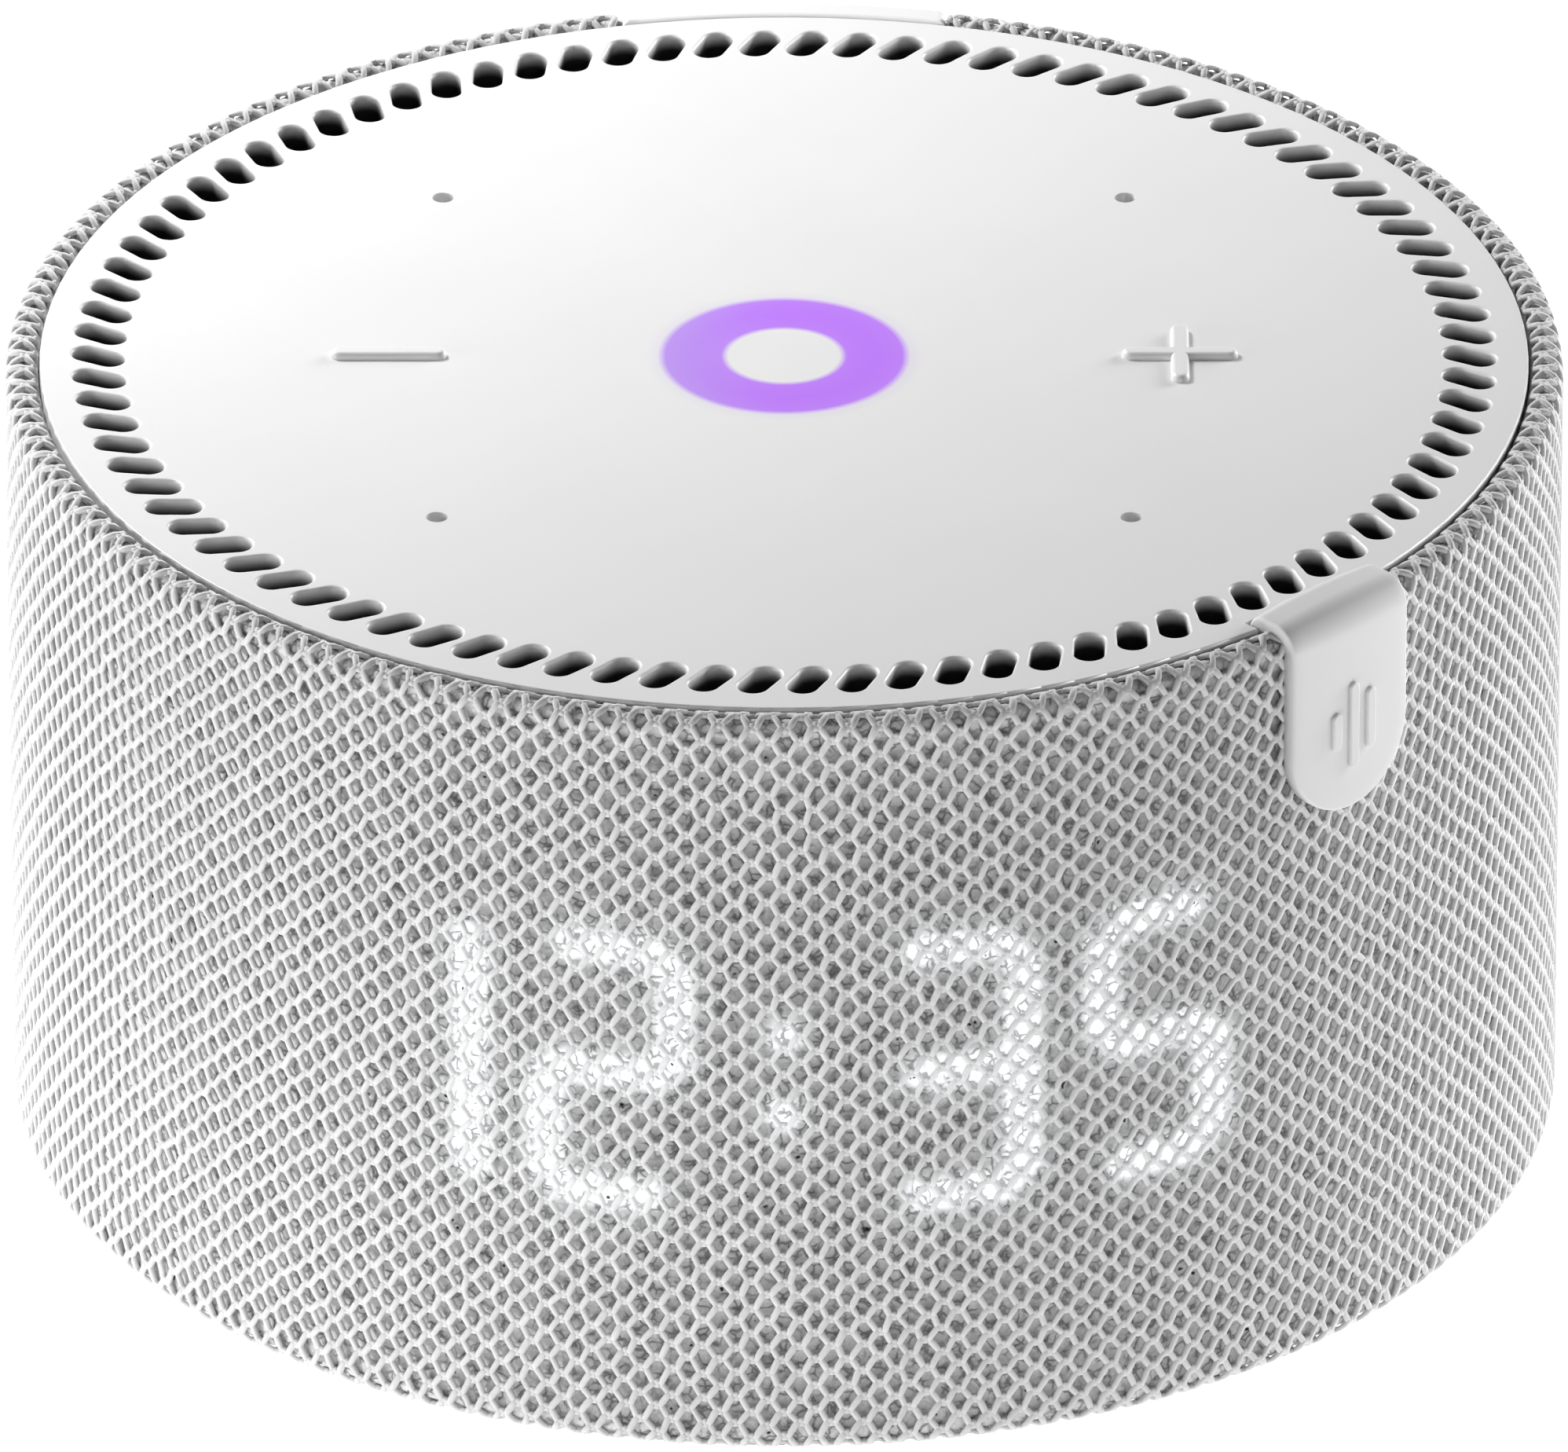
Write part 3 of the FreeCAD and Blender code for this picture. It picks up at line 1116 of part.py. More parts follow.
def make_ribbon(name, corners, width, azimuth):
    """Flat cable in a plane through the axis, from corners given as (radius, height)."""
    body = new_body(name)
    sketch = new_sketch(body, name + "_line", "XZ_Plane")
    draw_outline(sketch, corners)
    pad(body, sketch, width, both_ways=True)
    turn_about_z(body, azimuth)


def rising_ribbon(name, start, side, top, width, azimuth):
    """Flat cable that lies on the main board and then stands up against something."""
    low = "board_top + seat_gap"
    high = f"{low} + ribbon_thickness"
    inner_side = f"{side} - ribbon_thickness"
    corners = [(start, low), (side, low), (side, top), (inner_side, top), (inner_side, high), (start, high)]
    make_ribbon(name, corners, width, azimuth)


def make_ribbons():
    low = "board_top + seat_gap"
    high = f"{low} + ribbon_thickness"
    outer = "ribbon_reach"
    inner = "ribbon_reach - ribbon_thickness"
    ceiling = "touch_board_z - seat_gap"
    under = f"{ceiling} - ribbon_thickness"
    make_ribbon("touch_ribbon", [
        ("touch_ribbon_low", low), (outer, low), (outer, ceiling), ("touch_ribbon_high", ceiling),
        ("touch_ribbon_high", under), (inner, under), (inner, high), ("touch_ribbon_low", high),
    ], "touch_ribbon_width", "180")
    rising_ribbon("display_ribbon", "display_ribbon_low", "display_board_outer", "window_bottom + fit_gap",
                  "display_ribbon_width", "-90")
    rising_ribbon("port_ribbon", "port_ribbon_low", "port_board_y - seat_gap",
                  "port_board_low + port_ribbon_rise", "port_ribbon_width", "90")


def check_and_write():
    doc.recompute()
    for item in doc.Objects:
        if "Invalid" in item.State or "Error" in item.State:
            raise RuntimeError(f"{item.Label} failed: {item.State}")
    os.makedirs("parts", exist_ok=True)
    for item in NODES:
        if item.Shape.isNull() or not item.Shape.isValid():
            raise RuntimeError(f"{item.Label} has no valid shape")
    for item in NODES:
        item.Shape.exportStep(f"parts/{item.Label}.step")
        box = item.Shape.BoundBox
        print(f"{item.Label:22s} solids {len(item.Shape.Solids):3d}  volume {item.Shape.Volume:10.1f}  "
              f"z {box.ZMin:6.2f} to {box.ZMax:6.2f}")


make_top_plate()
make_fabric_sleeve()
make_side_shell()
make_rear_panel()
make_base_cover()
make_foot_ring()
make_fabric_tag()
make_base_screws()
make_touch_board()
make_touch_screws()
make_ring_light()
make_microphones()
make_vent_mesh()
make_display()
make_ports()
make_power_inlet()
make_mute_slider()
make_speaker_box()
make_baffle()
make_driver()
make_cone()
make_main_board()
make_board_parts()
make_ribbons()
check_and_write()
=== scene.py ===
import json
import math

import bmesh
import bpy
import numpy as np
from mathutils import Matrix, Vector

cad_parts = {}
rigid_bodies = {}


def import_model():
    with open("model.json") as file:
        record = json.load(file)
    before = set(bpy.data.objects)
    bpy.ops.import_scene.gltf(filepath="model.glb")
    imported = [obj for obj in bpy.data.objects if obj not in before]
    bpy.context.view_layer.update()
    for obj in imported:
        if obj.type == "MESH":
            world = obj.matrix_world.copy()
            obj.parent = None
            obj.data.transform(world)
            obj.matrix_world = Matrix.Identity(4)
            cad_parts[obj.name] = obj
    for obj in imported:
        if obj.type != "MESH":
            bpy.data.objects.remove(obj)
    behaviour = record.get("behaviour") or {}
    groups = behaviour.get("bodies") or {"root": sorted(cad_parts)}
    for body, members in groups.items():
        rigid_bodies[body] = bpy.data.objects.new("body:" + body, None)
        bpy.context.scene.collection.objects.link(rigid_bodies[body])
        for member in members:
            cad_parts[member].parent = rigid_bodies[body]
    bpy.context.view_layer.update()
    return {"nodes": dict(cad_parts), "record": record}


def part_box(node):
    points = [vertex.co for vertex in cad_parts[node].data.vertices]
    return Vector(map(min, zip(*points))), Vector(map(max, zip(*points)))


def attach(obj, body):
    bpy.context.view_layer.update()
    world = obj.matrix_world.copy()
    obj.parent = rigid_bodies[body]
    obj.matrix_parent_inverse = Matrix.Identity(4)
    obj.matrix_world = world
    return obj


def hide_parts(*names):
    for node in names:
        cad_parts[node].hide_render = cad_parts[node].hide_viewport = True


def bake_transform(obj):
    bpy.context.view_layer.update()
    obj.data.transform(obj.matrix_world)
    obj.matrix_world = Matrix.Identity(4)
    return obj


# The look of a round fabric-covered smart speaker: +Z is up and the clock faces -Y, in metres.
# Numbers inside materials are millimetres, because their patterns are set out in millimetres.

for leftover in list(bpy.data.objects):
    bpy.data.objects.remove(leftover)
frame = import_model()

MM = 0.001
NODES = frame["nodes"]

sleeve_low, sleeve_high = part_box("fabric_sleeve")
panel_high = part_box("rear_panel")[1]
plate_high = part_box("top_plate")[1]
tag_low, tag_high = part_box("fabric_tag")
guide_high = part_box("ring_light_guide")[1]

BODY_RADIUS = sleeve_high.x
PLATE_RADIUS = plate_high.x
PLATE_TOP = panel_high.z
PANEL_HALF = panel_high.x

# --- camera ---

AIM_HEIGHT = 27.32 * MM  # the camera looks at the axis, at this height
CAMERA_DISTANCE = 2168.7 * MM
CAMERA_ELEVATION = math.radians(28.27)
CAMERA_LENS = 788.5  # millimetres
SENSOR_WIDTH = 36.0


def make_camera():
    data = bpy.data.cameras.new("camera")
    data.sensor_width = SENSOR_WIDTH
    data.lens = CAMERA_LENS
    data.clip_start = 0.1
    data.clip_end = 50.0
    camera = bpy.data.objects.new("camera", data)
    back = Vector((0.0, -math.cos(CAMERA_ELEVATION), math.sin(CAMERA_ELEVATION)))
    camera.location = Vector((0.0, 0.0, AIM_HEIGHT)) + back * CAMERA_DISTANCE
    camera.rotation_mode = "QUATERNION"
    camera.rotation_quaternion = (-back).to_track_quat("-Z", "Y")
    bpy.context.scene.collection.objects.link(camera)
    bpy.context.scene.camera = camera


# --- materials ---

def new_material(name, colour, roughness, metallic=0.0, **sockets):
    """A Principled material. Returns the material and its shader node."""
    material = bpy.data.materials.new(name)
    material.use_nodes = True
    shader = material.node_tree.nodes["Principled BSDF"]
    shader.inputs["Base Color"].default_value = (*colour, 1.0)
    shader.inputs["Roughness"].default_value = roughness
    shader.inputs["Metallic"].default_value = metallic
    for socket, number in sockets.items():
        shader.inputs[socket.replace("_", " ")].default_value = number
    return material, shader


def add_node(material, kind, **settings):
    """Add a shader node. Settings in capitals name its inputs, the rest its own properties."""
    node = material.node_tree.nodes.new(kind)
    for name, setting in settings.items():
        if name[0].isupper():
            node.inputs[name.replace("_", " ")].default_value = setting
        else:
            setattr(node, name, setting)
    return node


def link(material, source, target):
    material.node_tree.links.new(source, target)


def position(material):
    """Object coordinates, in millimetres."""
    place = add_node(material, "ShaderNodeTexCoord")
    scale = add_node(material, "ShaderNodeVectorMath", operation="SCALE")
    scale.inputs["Scale"].default_value = 1.0 / MM
    link(material, place.outputs["Object"], scale.inputs[0])
    return scale.outputs[0]


def noise(material, where, size, detail=3.0, roughness=0.55):
    """Noise whose features are about this many millimetres across, from 0 to 1."""
    node = add_node(material, "ShaderNodeTexNoise", Scale=1.0 / size, Detail=detail, Roughness=roughness)
    link(material, where, node.inputs["Vector"])
    return node.outputs["Fac"]


def ramp(material, value, stops):
    """Map a value through (position, colour) stops."""
    node = add_node(material, "ShaderNodeValToRGB")
    elements = node.color_ramp.elements
    while len(elements) < len(stops):
        elements.new(0.5)
    for element, (at, colour) in zip(elements, stops):
        element.position = at
        element.color = (*colour, 1.0)
    link(material, value, node.inputs["Fac"])
    return node.outputs["Color"]


def grey(level):
    return (level, level, level)


def compute(material, operation, *given):
    """One sum. Each number given is a number or a socket."""
    node = add_node(material, "ShaderNodeMath", operation=operation)
    for socket, number in zip(node.inputs, given):
        if isinstance(number, bpy.types.NodeSocket):
            link(material, number, socket)
        else:
            socket.default_value = number
    return node.outputs[0]


def between(material, number, low, high):
    """0 at low, 1 at high, and smooth from one to the other."""
    node = add_node(material, "ShaderNodeMapRange", interpolation_type="SMOOTHSTEP",
                    From_Min=low, From_Max=high)
    link(material, number, node.inputs["Value"])
    return node.outputs["Result"]


def mixed(material, blend, factor, first, second):
    """Blend two colours. The factor and the colours are numbers or sockets."""
    node = add_node(material, "ShaderNodeMix", data_type="RGBA", blend_type=blend)
    for name, given in (("Factor", factor), ("A", first), ("B", second)):
        kind = "VALUE" if name == "Factor" else "RGBA"
        socket = next(s for s in node.inputs if s.name == name and s.type == kind)
        if isinstance(given, bpy.types.NodeSocket):
            link(material, given, socket)
        else:
            socket.default_value = given if name == "Factor" else (*given, 1.0)
    return next(s for s in node.outputs if s.type == "RGBA")


def bump(material, shader, height, strength, depth):
    """Bump a surface by a height map. The depth is in millimetres."""
    node = add_node(material, "ShaderNodeBump", Strength=strength, Distance=depth * MM)
    link(material, height, node.inputs["Height"])
    link(material, node.outputs["Normal"], shader.inputs["Normal"])


def shade(colour, factor):
    return tuple(min(1.0, channel * factor) for channel in colour)


SLOW_CHANGE = 14.0  # patches of tone about this wide
GLOSS_SPREAD = 0.05


def grained(name, colour, roughness, metallic=0.0, grain=0.3, depth=0.02, mottle=0.04, **sockets):
    """Moulded, cast or rolled surface: a fine grain in the bump and a slow change of tone and gloss."""
    material, shader = new_material(name, colour, roughness, metallic, **sockets)
    where = position(material)
    slow = noise(material, where, SLOW_CHANGE, 2.0)
    link(material, ramp(material, slow, [(0.3, shade(colour, 1 - mottle)), (0.7, shade(colour, 1 + mottle))]),
         shader.inputs["Base Color"])
    fine = noise(material, where, grain, 2.0)
    spread = add_node(material, "ShaderNodeMapRange",
                      To_Min=roughness - GLOSS_SPREAD, To_Max=roughness + GLOSS_SPREAD)
    link(material, fine, spread.inputs["Value"])
    link(material, spread.outputs["Result"], shader.inputs["Roughness"])
    bump(material, shader, fine, 0.35, depth)
    return material


RING_COLOUR = (0.455, 0.18, 0.84)
RING_SIDE_COLOUR = (0.44, 0.25, 0.77)
RING_GLOW = 0.12
RING_REACH = 12.0  # the ring's light ends inside this radius
VENT_INNER = 40.6  # the slots lie between these two radii
VENT_OUTER = 45.5
VENT_SHADE_DEPTH = 1.15  # painted shade: the slots' walls are darkest this far below the face
# painted shade: near-black colour on the slots' walls, deep below the face, where shadow falls
VENT_PAINTED_SHADE = grey(0.015)
GROOVE_PAINTED_SHADE = grey(0.25)  # painted shade on the walls of the groove round the plate, and on the rear panel's inner wall
EDGE_BAND = (-0.2, -0.1, 0.35, 0.5)  # from the plate's radius: where that shade comes in and goes out
EDGE_DEPTHS = (0.45, 0.06)  # below the face: full shade, and none
EDGE_LIT_SIDE = (-48.0, -24.0)  # light falls into the groove on this side


def guide_inner_radius():
    """Inner radius of the light guide, in millimetres: its vertex nearest to the axis."""
    return min(math.hypot(v.co.x, v.co.y) for v in NODES["ring_light_guide"].data.vertices) / MM


def plate_plastic():
    """White satin plate: a purple ring shines through its middle, and painted shade darkens its slots below
    the face and the groove round its edge.
    """
    white = grey(0.80)
    material, shader = new_material("plate_plastic", white, 0.38)
    where = position(material)
    parts = add_node(material, "ShaderNodeSeparateXYZ")
    link(material, where, parts.inputs[0])
    x, y, height = parts.outputs
    squares = [compute(material, "MULTIPLY", axis, axis) for axis in (x, y)]
    radius = compute(material, "SQRT", compute(material, "ADD", *squares))
    inner, outer = guide_inner_radius(), guide_high.x / MM
    ring = ramp(material, compute(material, "DIVIDE", radius, RING_REACH), [
        ((inner - 0.3) / RING_REACH, grey(0.0)),
        ((inner + 0.15) / RING_REACH, grey(0.97)),
        ((inner + outer) / 2 / RING_REACH, grey(1.0)),
        ((outer - 0.25) / RING_REACH, grey(0.96)),
        ((outer + 0.25) / RING_REACH, grey(0.10)),
        ((outer + 1.1) / RING_REACH, grey(0.0)),
    ])
    top = PLATE_TOP / MM
    face = between(material, height, top - 0.2, top - 0.1)
    ring = compute(material, "MULTIPLY", ring, face)
    tint = ramp(material, between(material, x, -outer, 0.0), [(0.0, RING_SIDE_COLOUR), (1.0, RING_COLOUR)])
    # painted shade in the slots: none near the face, full deep down
    painted_slot_shade = compute(material, "SUBTRACT", 1.0, between(material, height, top - VENT_SHADE_DEPTH, top - 0.1))
    in_slots = compute(material, "MULTIPLY", between(material, radius, VENT_INNER - 0.1, VENT_INNER),
                       between(material, radius, VENT_OUTER + 0.1, VENT_OUTER))
    painted_slot_shade = compute(material, "MULTIPLY", painted_slot_shade, in_slots)
    slow = noise(material, where, SLOW_CHANGE, 2.0)
    tone = ramp(material, slow, [(0.3, shade(white, 0.99)), (0.7, shade(white, 1.01))])
    # painted shade on the groove's walls round the plate and on the rear panel's inner wall, fainter on the
    # side where light falls into the groove
    full, none = [top - depth for depth in EDGE_DEPTHS]
    edge = compute(material, "SUBTRACT", 1.0, between(material, height, full, none))
    band = [PLATE_RADIUS / MM + offset for offset in EDGE_BAND]
    edge = compute(material, "MULTIPLY", edge, between(material, radius, band[0], band[1]))
    edge = compute(material, "MULTIPLY", edge, between(material, radius, band[3], band[2]))
    edge = compute(material, "MULTIPLY", edge, between(material, x, *EDGE_LIT_SIDE))
    tone = mixed(material, "MIX", edge, tone, GROOVE_PAINTED_SHADE)
    colour = mixed(material, "MIX", ring, tone, tint)
    link(material, mixed(material, "MIX", painted_slot_shade, colour, VENT_PAINTED_SHADE), shader.inputs["Base Color"])
    link(material, tint, shader.inputs["Emission Color"])
    link(material, compute(material, "MULTIPLY", ring, RING_GLOW), shader.inputs["Emission Strength"])
    bump(material, shader, noise(material, where, 0.16, 2.0), 0.3, 0.006)
    return material


CLOCK_COLOUR = (0.94, 0.97, 1.0)
CLOTH_GLOW = 0.8
YARN_GLOW = 0.10
CLOTH_LOOP = 0.85  # the backing's loops are about this wide
# painted light from the floor: heights in millimetres where the cloth keeps its full tone and where it is
# darkest
FLOOR_LIGHT_HEIGHTS = (4.0, 50.0)


def glow_emission(material, shader, strength, factor=1.0):
    """Light that comes through from behind: the mesh's glow attribute times a strength and a factor."""
    glow = add_node(material, "ShaderNodeAttribute", attribute_name="glow")
    shader.inputs["Emission Color"].default_value = (*CLOCK_COLOUR, 1.0)
    scaled = compute(material, "MULTIPLY", glow.outputs["Fac"], strength)
    link(material, compute(material, "MULTIPLY", scaled, factor), shader.inputs["Emission Strength"])


def painted_floor_light(material, tone):
    """Painted light from the floor: the cloth is a little paler towards the floor and darker towards the top.
    """
    parts = add_node(material, "ShaderNodeSeparateXYZ")
    link(material, position(material), parts.inputs[0])
    painted_light = ramp(material, between(material, parts.outputs["Z"], *FLOOR_LIGHT_HEIGHTS),
                [(0.0, grey(1.0)), (1.0, grey(0.9))])
    return mixed(material, "MULTIPLY", 1.0, tone, painted_light)


def backing_fabric():
    """Grey knitted backing: soft cloth with painted shade in a few curved creases, and near-black painted
    shade in a few small gaps.
    """
    material, shader = new_material("backing_fabric", grey(0.68), 0.95, Specular_IOR_Level=0.2)
    where = position(material)
    shake = add_node(material, "ShaderNodeTexNoise", Scale=0.9, Detail=2.0)
    link(material, where, shake.inputs["Vector"])
    bent = add_node(material, "ShaderNodeVectorMath", operation="ADD")
    link(material, where, bent.inputs[0])
    link(material, shake.outputs["Color"], bent.inputs[1])
    loops = add_node(material, "ShaderNodeTexVoronoi", feature="DISTANCE_TO_EDGE",
                     Scale=1.0 / CLOTH_LOOP)
    link(material, bent.outputs[0], loops.inputs["Vector"])
    # painted shade: dark lines in the creases between the cloth's loops, some of them hidden by noise
    painted_crease_shade = ramp(material, loops.outputs["Distance"],
                [(0.0, grey(0.30)), (0.05, grey(0.48)), (0.12, grey(0.88)), (0.2, grey(1.0))])
    hidden = ramp(material, noise(material, where, 0.9, 1.0), [(0.44, grey(0.0)), (0.64, grey(0.9))])
    painted_crease_shade = mixed(material, "MIX", hidden, painted_crease_shade, grey(1.0))
    tone = ramp(material, noise(material, where, 0.2, 3.0, 0.7),
                [(0.3, grey(0.615)), (0.5, grey(0.75)), (0.7, grey(0.87))])
    # painted shade: a few near-black spots for small gaps in the cloth
    spots = add_node(material, "ShaderNodeTexVoronoi", feature="F1", Scale=1.0 / CLOTH_LOOP)
    link(material, bent.outputs[0], spots.inputs["Vector"])
    painted_gap_shade = ramp(material, spots.outputs["Distance"], [(0.12, grey(0.04)), (0.22, grey(1.0))])
    rare = ramp(material, noise(material, where, 2.1, 1.0), [(0.34, grey(1.0)), (0.40, grey(0.0))])
    painted_gap_shade = mixed(material, "MIX", rare, grey(1.0), painted_gap_shade)
    cloth = mixed(material, "MULTIPLY", 1.0, mixed(material, "MULTIPLY", 1.0, tone, painted_crease_shade), painted_gap_shade)
    # painted light from the floor: the cloth is paler towards the bottom
    link(material, painted_floor_light(material, cloth), shader.inputs["Base Color"])
    bump(material, shader, noise(material, where, 0.22, 2.0), 0.4, 0.06)
    # the painted crease and gap shade also dims the clock's light that comes through
    glow_emission(material, shader, CLOTH_GLOW, mixed(material, "MULTIPLY", 1.0, painted_crease_shade, painted_gap_shade))
    return material


def yarn():
    """Pale bundled filaments of the open net."""
    material, shader = new_material("yarn", grey(0.67), 0.85, Specular_IOR_Level=0.25)
    where = position(material)
    tone = ramp(material, noise(material, where, 1.6, 3.0), [(0.3, grey(0.625)), (0.7, grey(0.72))])
    # painted light from the floor: the yarn is paler towards the bottom
    link(material, painted_floor_light(material, tone), shader.inputs["Base Color"])
    bump(material, shader, noise(material, where, 0.09, 2.0), 0.4, 0.03)
    glow_emission(material, shader, YARN_GLOW)
    return material


def tag_silicone():
    return grained("tag_silicone", grey(0.66), 0.55, grain=0.12, depth=0.006, mottle=0.01, Sheen_Weight=0.1)


INNER_FINISHES = {
    # slot: colour, roughness, metallic
    "inner_plastic": (grey(0.34), 0.55, 0.0),
    "base_plastic": (grey(0.60), 0.5, 0.0),
    "foot_rubber": (grey(0.26), 0.8, 0.0),
    "screw_steel": (grey(0.50), 0.3, 1.0),
    "circuit_board": ((0.015, 0.12, 0.05), 0.4, 0.0),
    "light_guide": ((0.80, 0.80, 0.84), 0.35, 0.0),
    "led_package": ((0.85, 0.84, 0.74), 0.35, 0.0),
    "metal_can": (grey(0.62), 0.3, 1.0),
    "black_rubber": (grey(0.02), 0.75, 0.0),
    "dust_cloth": (grey(0.012), 0.95, 0.0),
    "black_plastic": (grey(0.02), 0.5, 0.0),
    "slider_plastic": (grey(0.60), 0.45, 0.0),
    "basket_steel": (grey(0.03), 0.4, 0.6),
    "magnet_steel": (grey(0.55), 0.32, 1.0),
    "ferrite": (grey(0.05), 0.6, 0.2),
    "coil_copper": ((0.60, 0.23, 0.09), 0.35, 1.0),
    "cone_paper": (grey(0.05), 0.85, 0.0),
    "spider_cloth": ((0.36, 0.26, 0.13), 0.9, 0.0),
    "chip_plastic": (grey(0.03), 0.45, 0.0),
    "spreader_aluminium": (grey(0.72), 0.35, 1.0),
    "ballast_steel": (grey(0.42), 0.4, 1.0),
    "flex_film": ((0.42, 0.17, 0.03), 0.35, 0.0),
}


def dress_cad_nodes():
    """Give every CAD node a material of its slot's kind."""
    finishes = {slot: grained(slot, *finish) for slot, finish in INNER_FINISHES.items()}
    finishes["white_shell"] = plate_plastic()
    finishes["knit_fabric"] = grained("sleeve_stand_in", grey(0.5), 0.9)
    finishes["tag_rubber"] = grained("tag_stand_in", grey(0.66), 0.55)
    slot_of = {part["node"]: part["material_slot"] for part in frame["record"]["subparts"]}
    for name, node in NODES.items():
        for slot in node.material_slots:
            slot.material = finishes[slot_of[name]]


# --- meshes from arrays ---

def mesh_object(name, points, faces, smooth=True):
    """Mesh piece from points and a list of arrays of faces, one array for each number of corners."""
    mesh = bpy.data.meshes.new(name)
    mesh.vertices.add(len(points))
    mesh.vertices.foreach_set("co", np.ascontiguousarray(points, np.float32).ravel())
    loops = np.concatenate([np.asarray(part, np.int32).ravel() for part in faces])
    counts = np.concatenate([np.full(len(part), part.shape[1], np.int32) for part in faces])
    mesh.loops.add(len(loops))
    mesh.loops.foreach_set("vertex_index", loops)
    mesh.polygons.add(len(counts))
    mesh.polygons.foreach_set("loop_start", np.concatenate([[0], np.cumsum(counts)[:-1]]).astype(np.int32))
    mesh.update(calc_edges=True)
    mesh.polygons.foreach_set("use_smooth", np.full(len(counts), smooth))
    piece = bpy.data.objects.new(name, mesh)
    bpy.context.scene.collection.objects.link(piece)
    return piece


def unroll(piece):
    """Texture coordinates round the body and up its side."""
    mesh = piece.data
    corners = np.empty(len(mesh.loops), np.int32)
    mesh.loops.foreach_get("vertex_index", corners)
    points = np.empty(len(mesh.vertices) * 3, np.float32)
    mesh.vertices.foreach_get("co", points)
    points = points.reshape(-1, 3)[corners]
    turn = np.arctan2(points[:, 0], -points[:, 1]) / (2 * math.pi) + 0.5
    radius = np.hypot(points[:, 0], points[:, 1])
    run = (points[:, 2] - radius + BODY_RADIUS) / (2 * BODY_RADIUS)
    layer = mesh.uv_layers.new(name="OFBake")
    layer.data.foreach_set("uv", np.stack([turn, run], axis=1).astype(np.float32).ravel())


def set_attribute(piece, name, numbers):
    """Give each vertex of the piece a number, for its material to read."""
    layer = piece.data.attributes.new(name, "FLOAT", "POINT")
    layer.data.foreach_set("value", np.ascontiguousarray(numbers, np.float32))


# --- the fabric's surface: over the top roll, down the side, and under the hem ---

YARN_HALF_DEPTH = 0.17 * MM
YARN_GAP = 0.04 * MM  # between the yarns and the sleeve's outer face
ROLL_RADIUS = 0.93 * MM
HEM_RADIUS = 1.0 * MM
HEM_REACH = 2.2 * MM  # how far the fabric goes in under the base
OUTSIDE = BODY_RADIUS - YARN_HALF_DEPTH - YARN_GAP  # where the yarns' middles run
RIDGE_DROP = 0.1 * MM  # the ridge of the net below the sleeve's highest point
ROLL_MIDDLE = (OUTSIDE - ROLL_RADIUS, sleeve_high.z - RIDGE_DROP - YARN_HALF_DEPTH - ROLL_RADIUS)
HEM_RISE = 0.3 * MM  # the net's lowest line above the sleeve's
HEM_MIDDLE = (OUTSIDE - HEM_RADIUS, sleeve_low.z + HEM_RISE + YARN_HALF_DEPTH + HEM_RADIUS)
ROLL_TURN = math.radians(195.0)  # how far the fabric goes round the roll, into the groove at the plate
ROLL_LENGTH = ROLL_RADIUS * ROLL_TURN
SIDE_LENGTH = ROLL_MIDDLE[1] - HEM_MIDDLE[1]
HEM_LENGTH = HEM_RADIUS * math.pi / 2
PATH_LENGTH = ROLL_LENGTH + SIDE_LENGTH + HEM_LENGTH + HEM_REACH
PANEL_GAP = 0.25 * MM
# the fabric stops at the rear panel, this far round from the front
REAR_EDGE = (math.pi - math.asin((PANEL_HALF + PANEL_GAP) / BODY_RADIUS)) * BODY_RADIUS


def fabric_points(around, along, depth):
    """Points on the fabric: around is the arc from the front, along runs from the groove, depth inward."""
    along, depth = np.broadcast_arrays(along, depth)
    roll = along < ROLL_LENGTH
    side_end = ROLL_LENGTH + SIDE_LENGTH
    side = ~roll & (along < side_end)
    hem = ~roll & ~side & (along < side_end + HEM_LENGTH)
    turn = ROLL_TURN - along / ROLL_RADIUS
    drop = (along - side_end) / HEM_RADIUS
    radius = np.select(
        [roll, side, hem],
        [ROLL_MIDDLE[0] + (ROLL_RADIUS - depth) * np.cos(turn), OUTSIDE - depth,
         HEM_MIDDLE[0] + (HEM_RADIUS - depth) * np.cos(drop)],
        HEM_MIDDLE[0] - (along - side_end - HEM_LENGTH))
    height = np.select(
        [roll, side, hem],
        [ROLL_MIDDLE[1] + (ROLL_RADIUS - depth) * np.sin(turn), ROLL_MIDDLE[1] - (along - ROLL_LENGTH),
         HEM_MIDDLE[1] - (HEM_RADIUS - depth) * np.sin(drop)],
        HEM_MIDDLE[1] - HEM_RADIUS + depth)
    angle = around / BODY_RADIUS
    return np.stack(np.broadcast_arrays(radius * np.sin(angle), -radius * np.cos(angle), height), axis=-1)


def fabric_normals(around, along):
    """Which way the fabric faces."""
    step = 0.01 * MM
    outward = fabric_points(around, along, 0.0) - fabric_points(around, along, step)
    return outward / np.linalg.norm(outward, axis=-1, keepdims=True)


# --- the tag: a soft strap out of the plate's notch, over the roll and down the side ---

TAG_AZIMUTH = math.atan2((tag_low.y + tag_high.y) / 2, (tag_low.x + tag_high.x) / 2)
TAG_HALF = 5.07 * MM
TAG_THICKNESS = 0.9 * MM
TAG_EDGE = 0.22 * MM
TAG_BOW = 0.2 * MM  # how far the strap's middle stands out
TAG_ROOT = 45.4 * MM
TAG_FACE = 49.6 * MM
TAG_TOP = tag_high.z
TAG_ROOT_BEND = 1.3 * MM
TAG_BEND = 1.8 * MM
TAG_ROOT_LENGTH = 1.2 * MM
TAG_CLEARANCE = 0.07 * MM  # between the strap and the fabric pressed in under it
TAG_END_MIDDLE = tag_low.z + TAG_HALF
MARK_MIDDLE = 46.3 * MM
MARK_PITCH = 1.5 * MM
MARK_HALF_WIDTH = 0.4 * MM
MARK_HEIGHT = 0.24 * MM
MARK_EDGE = 0.12 * MM
MARK_SUNK = 0.1 * MM  # how far the bars go into the strap
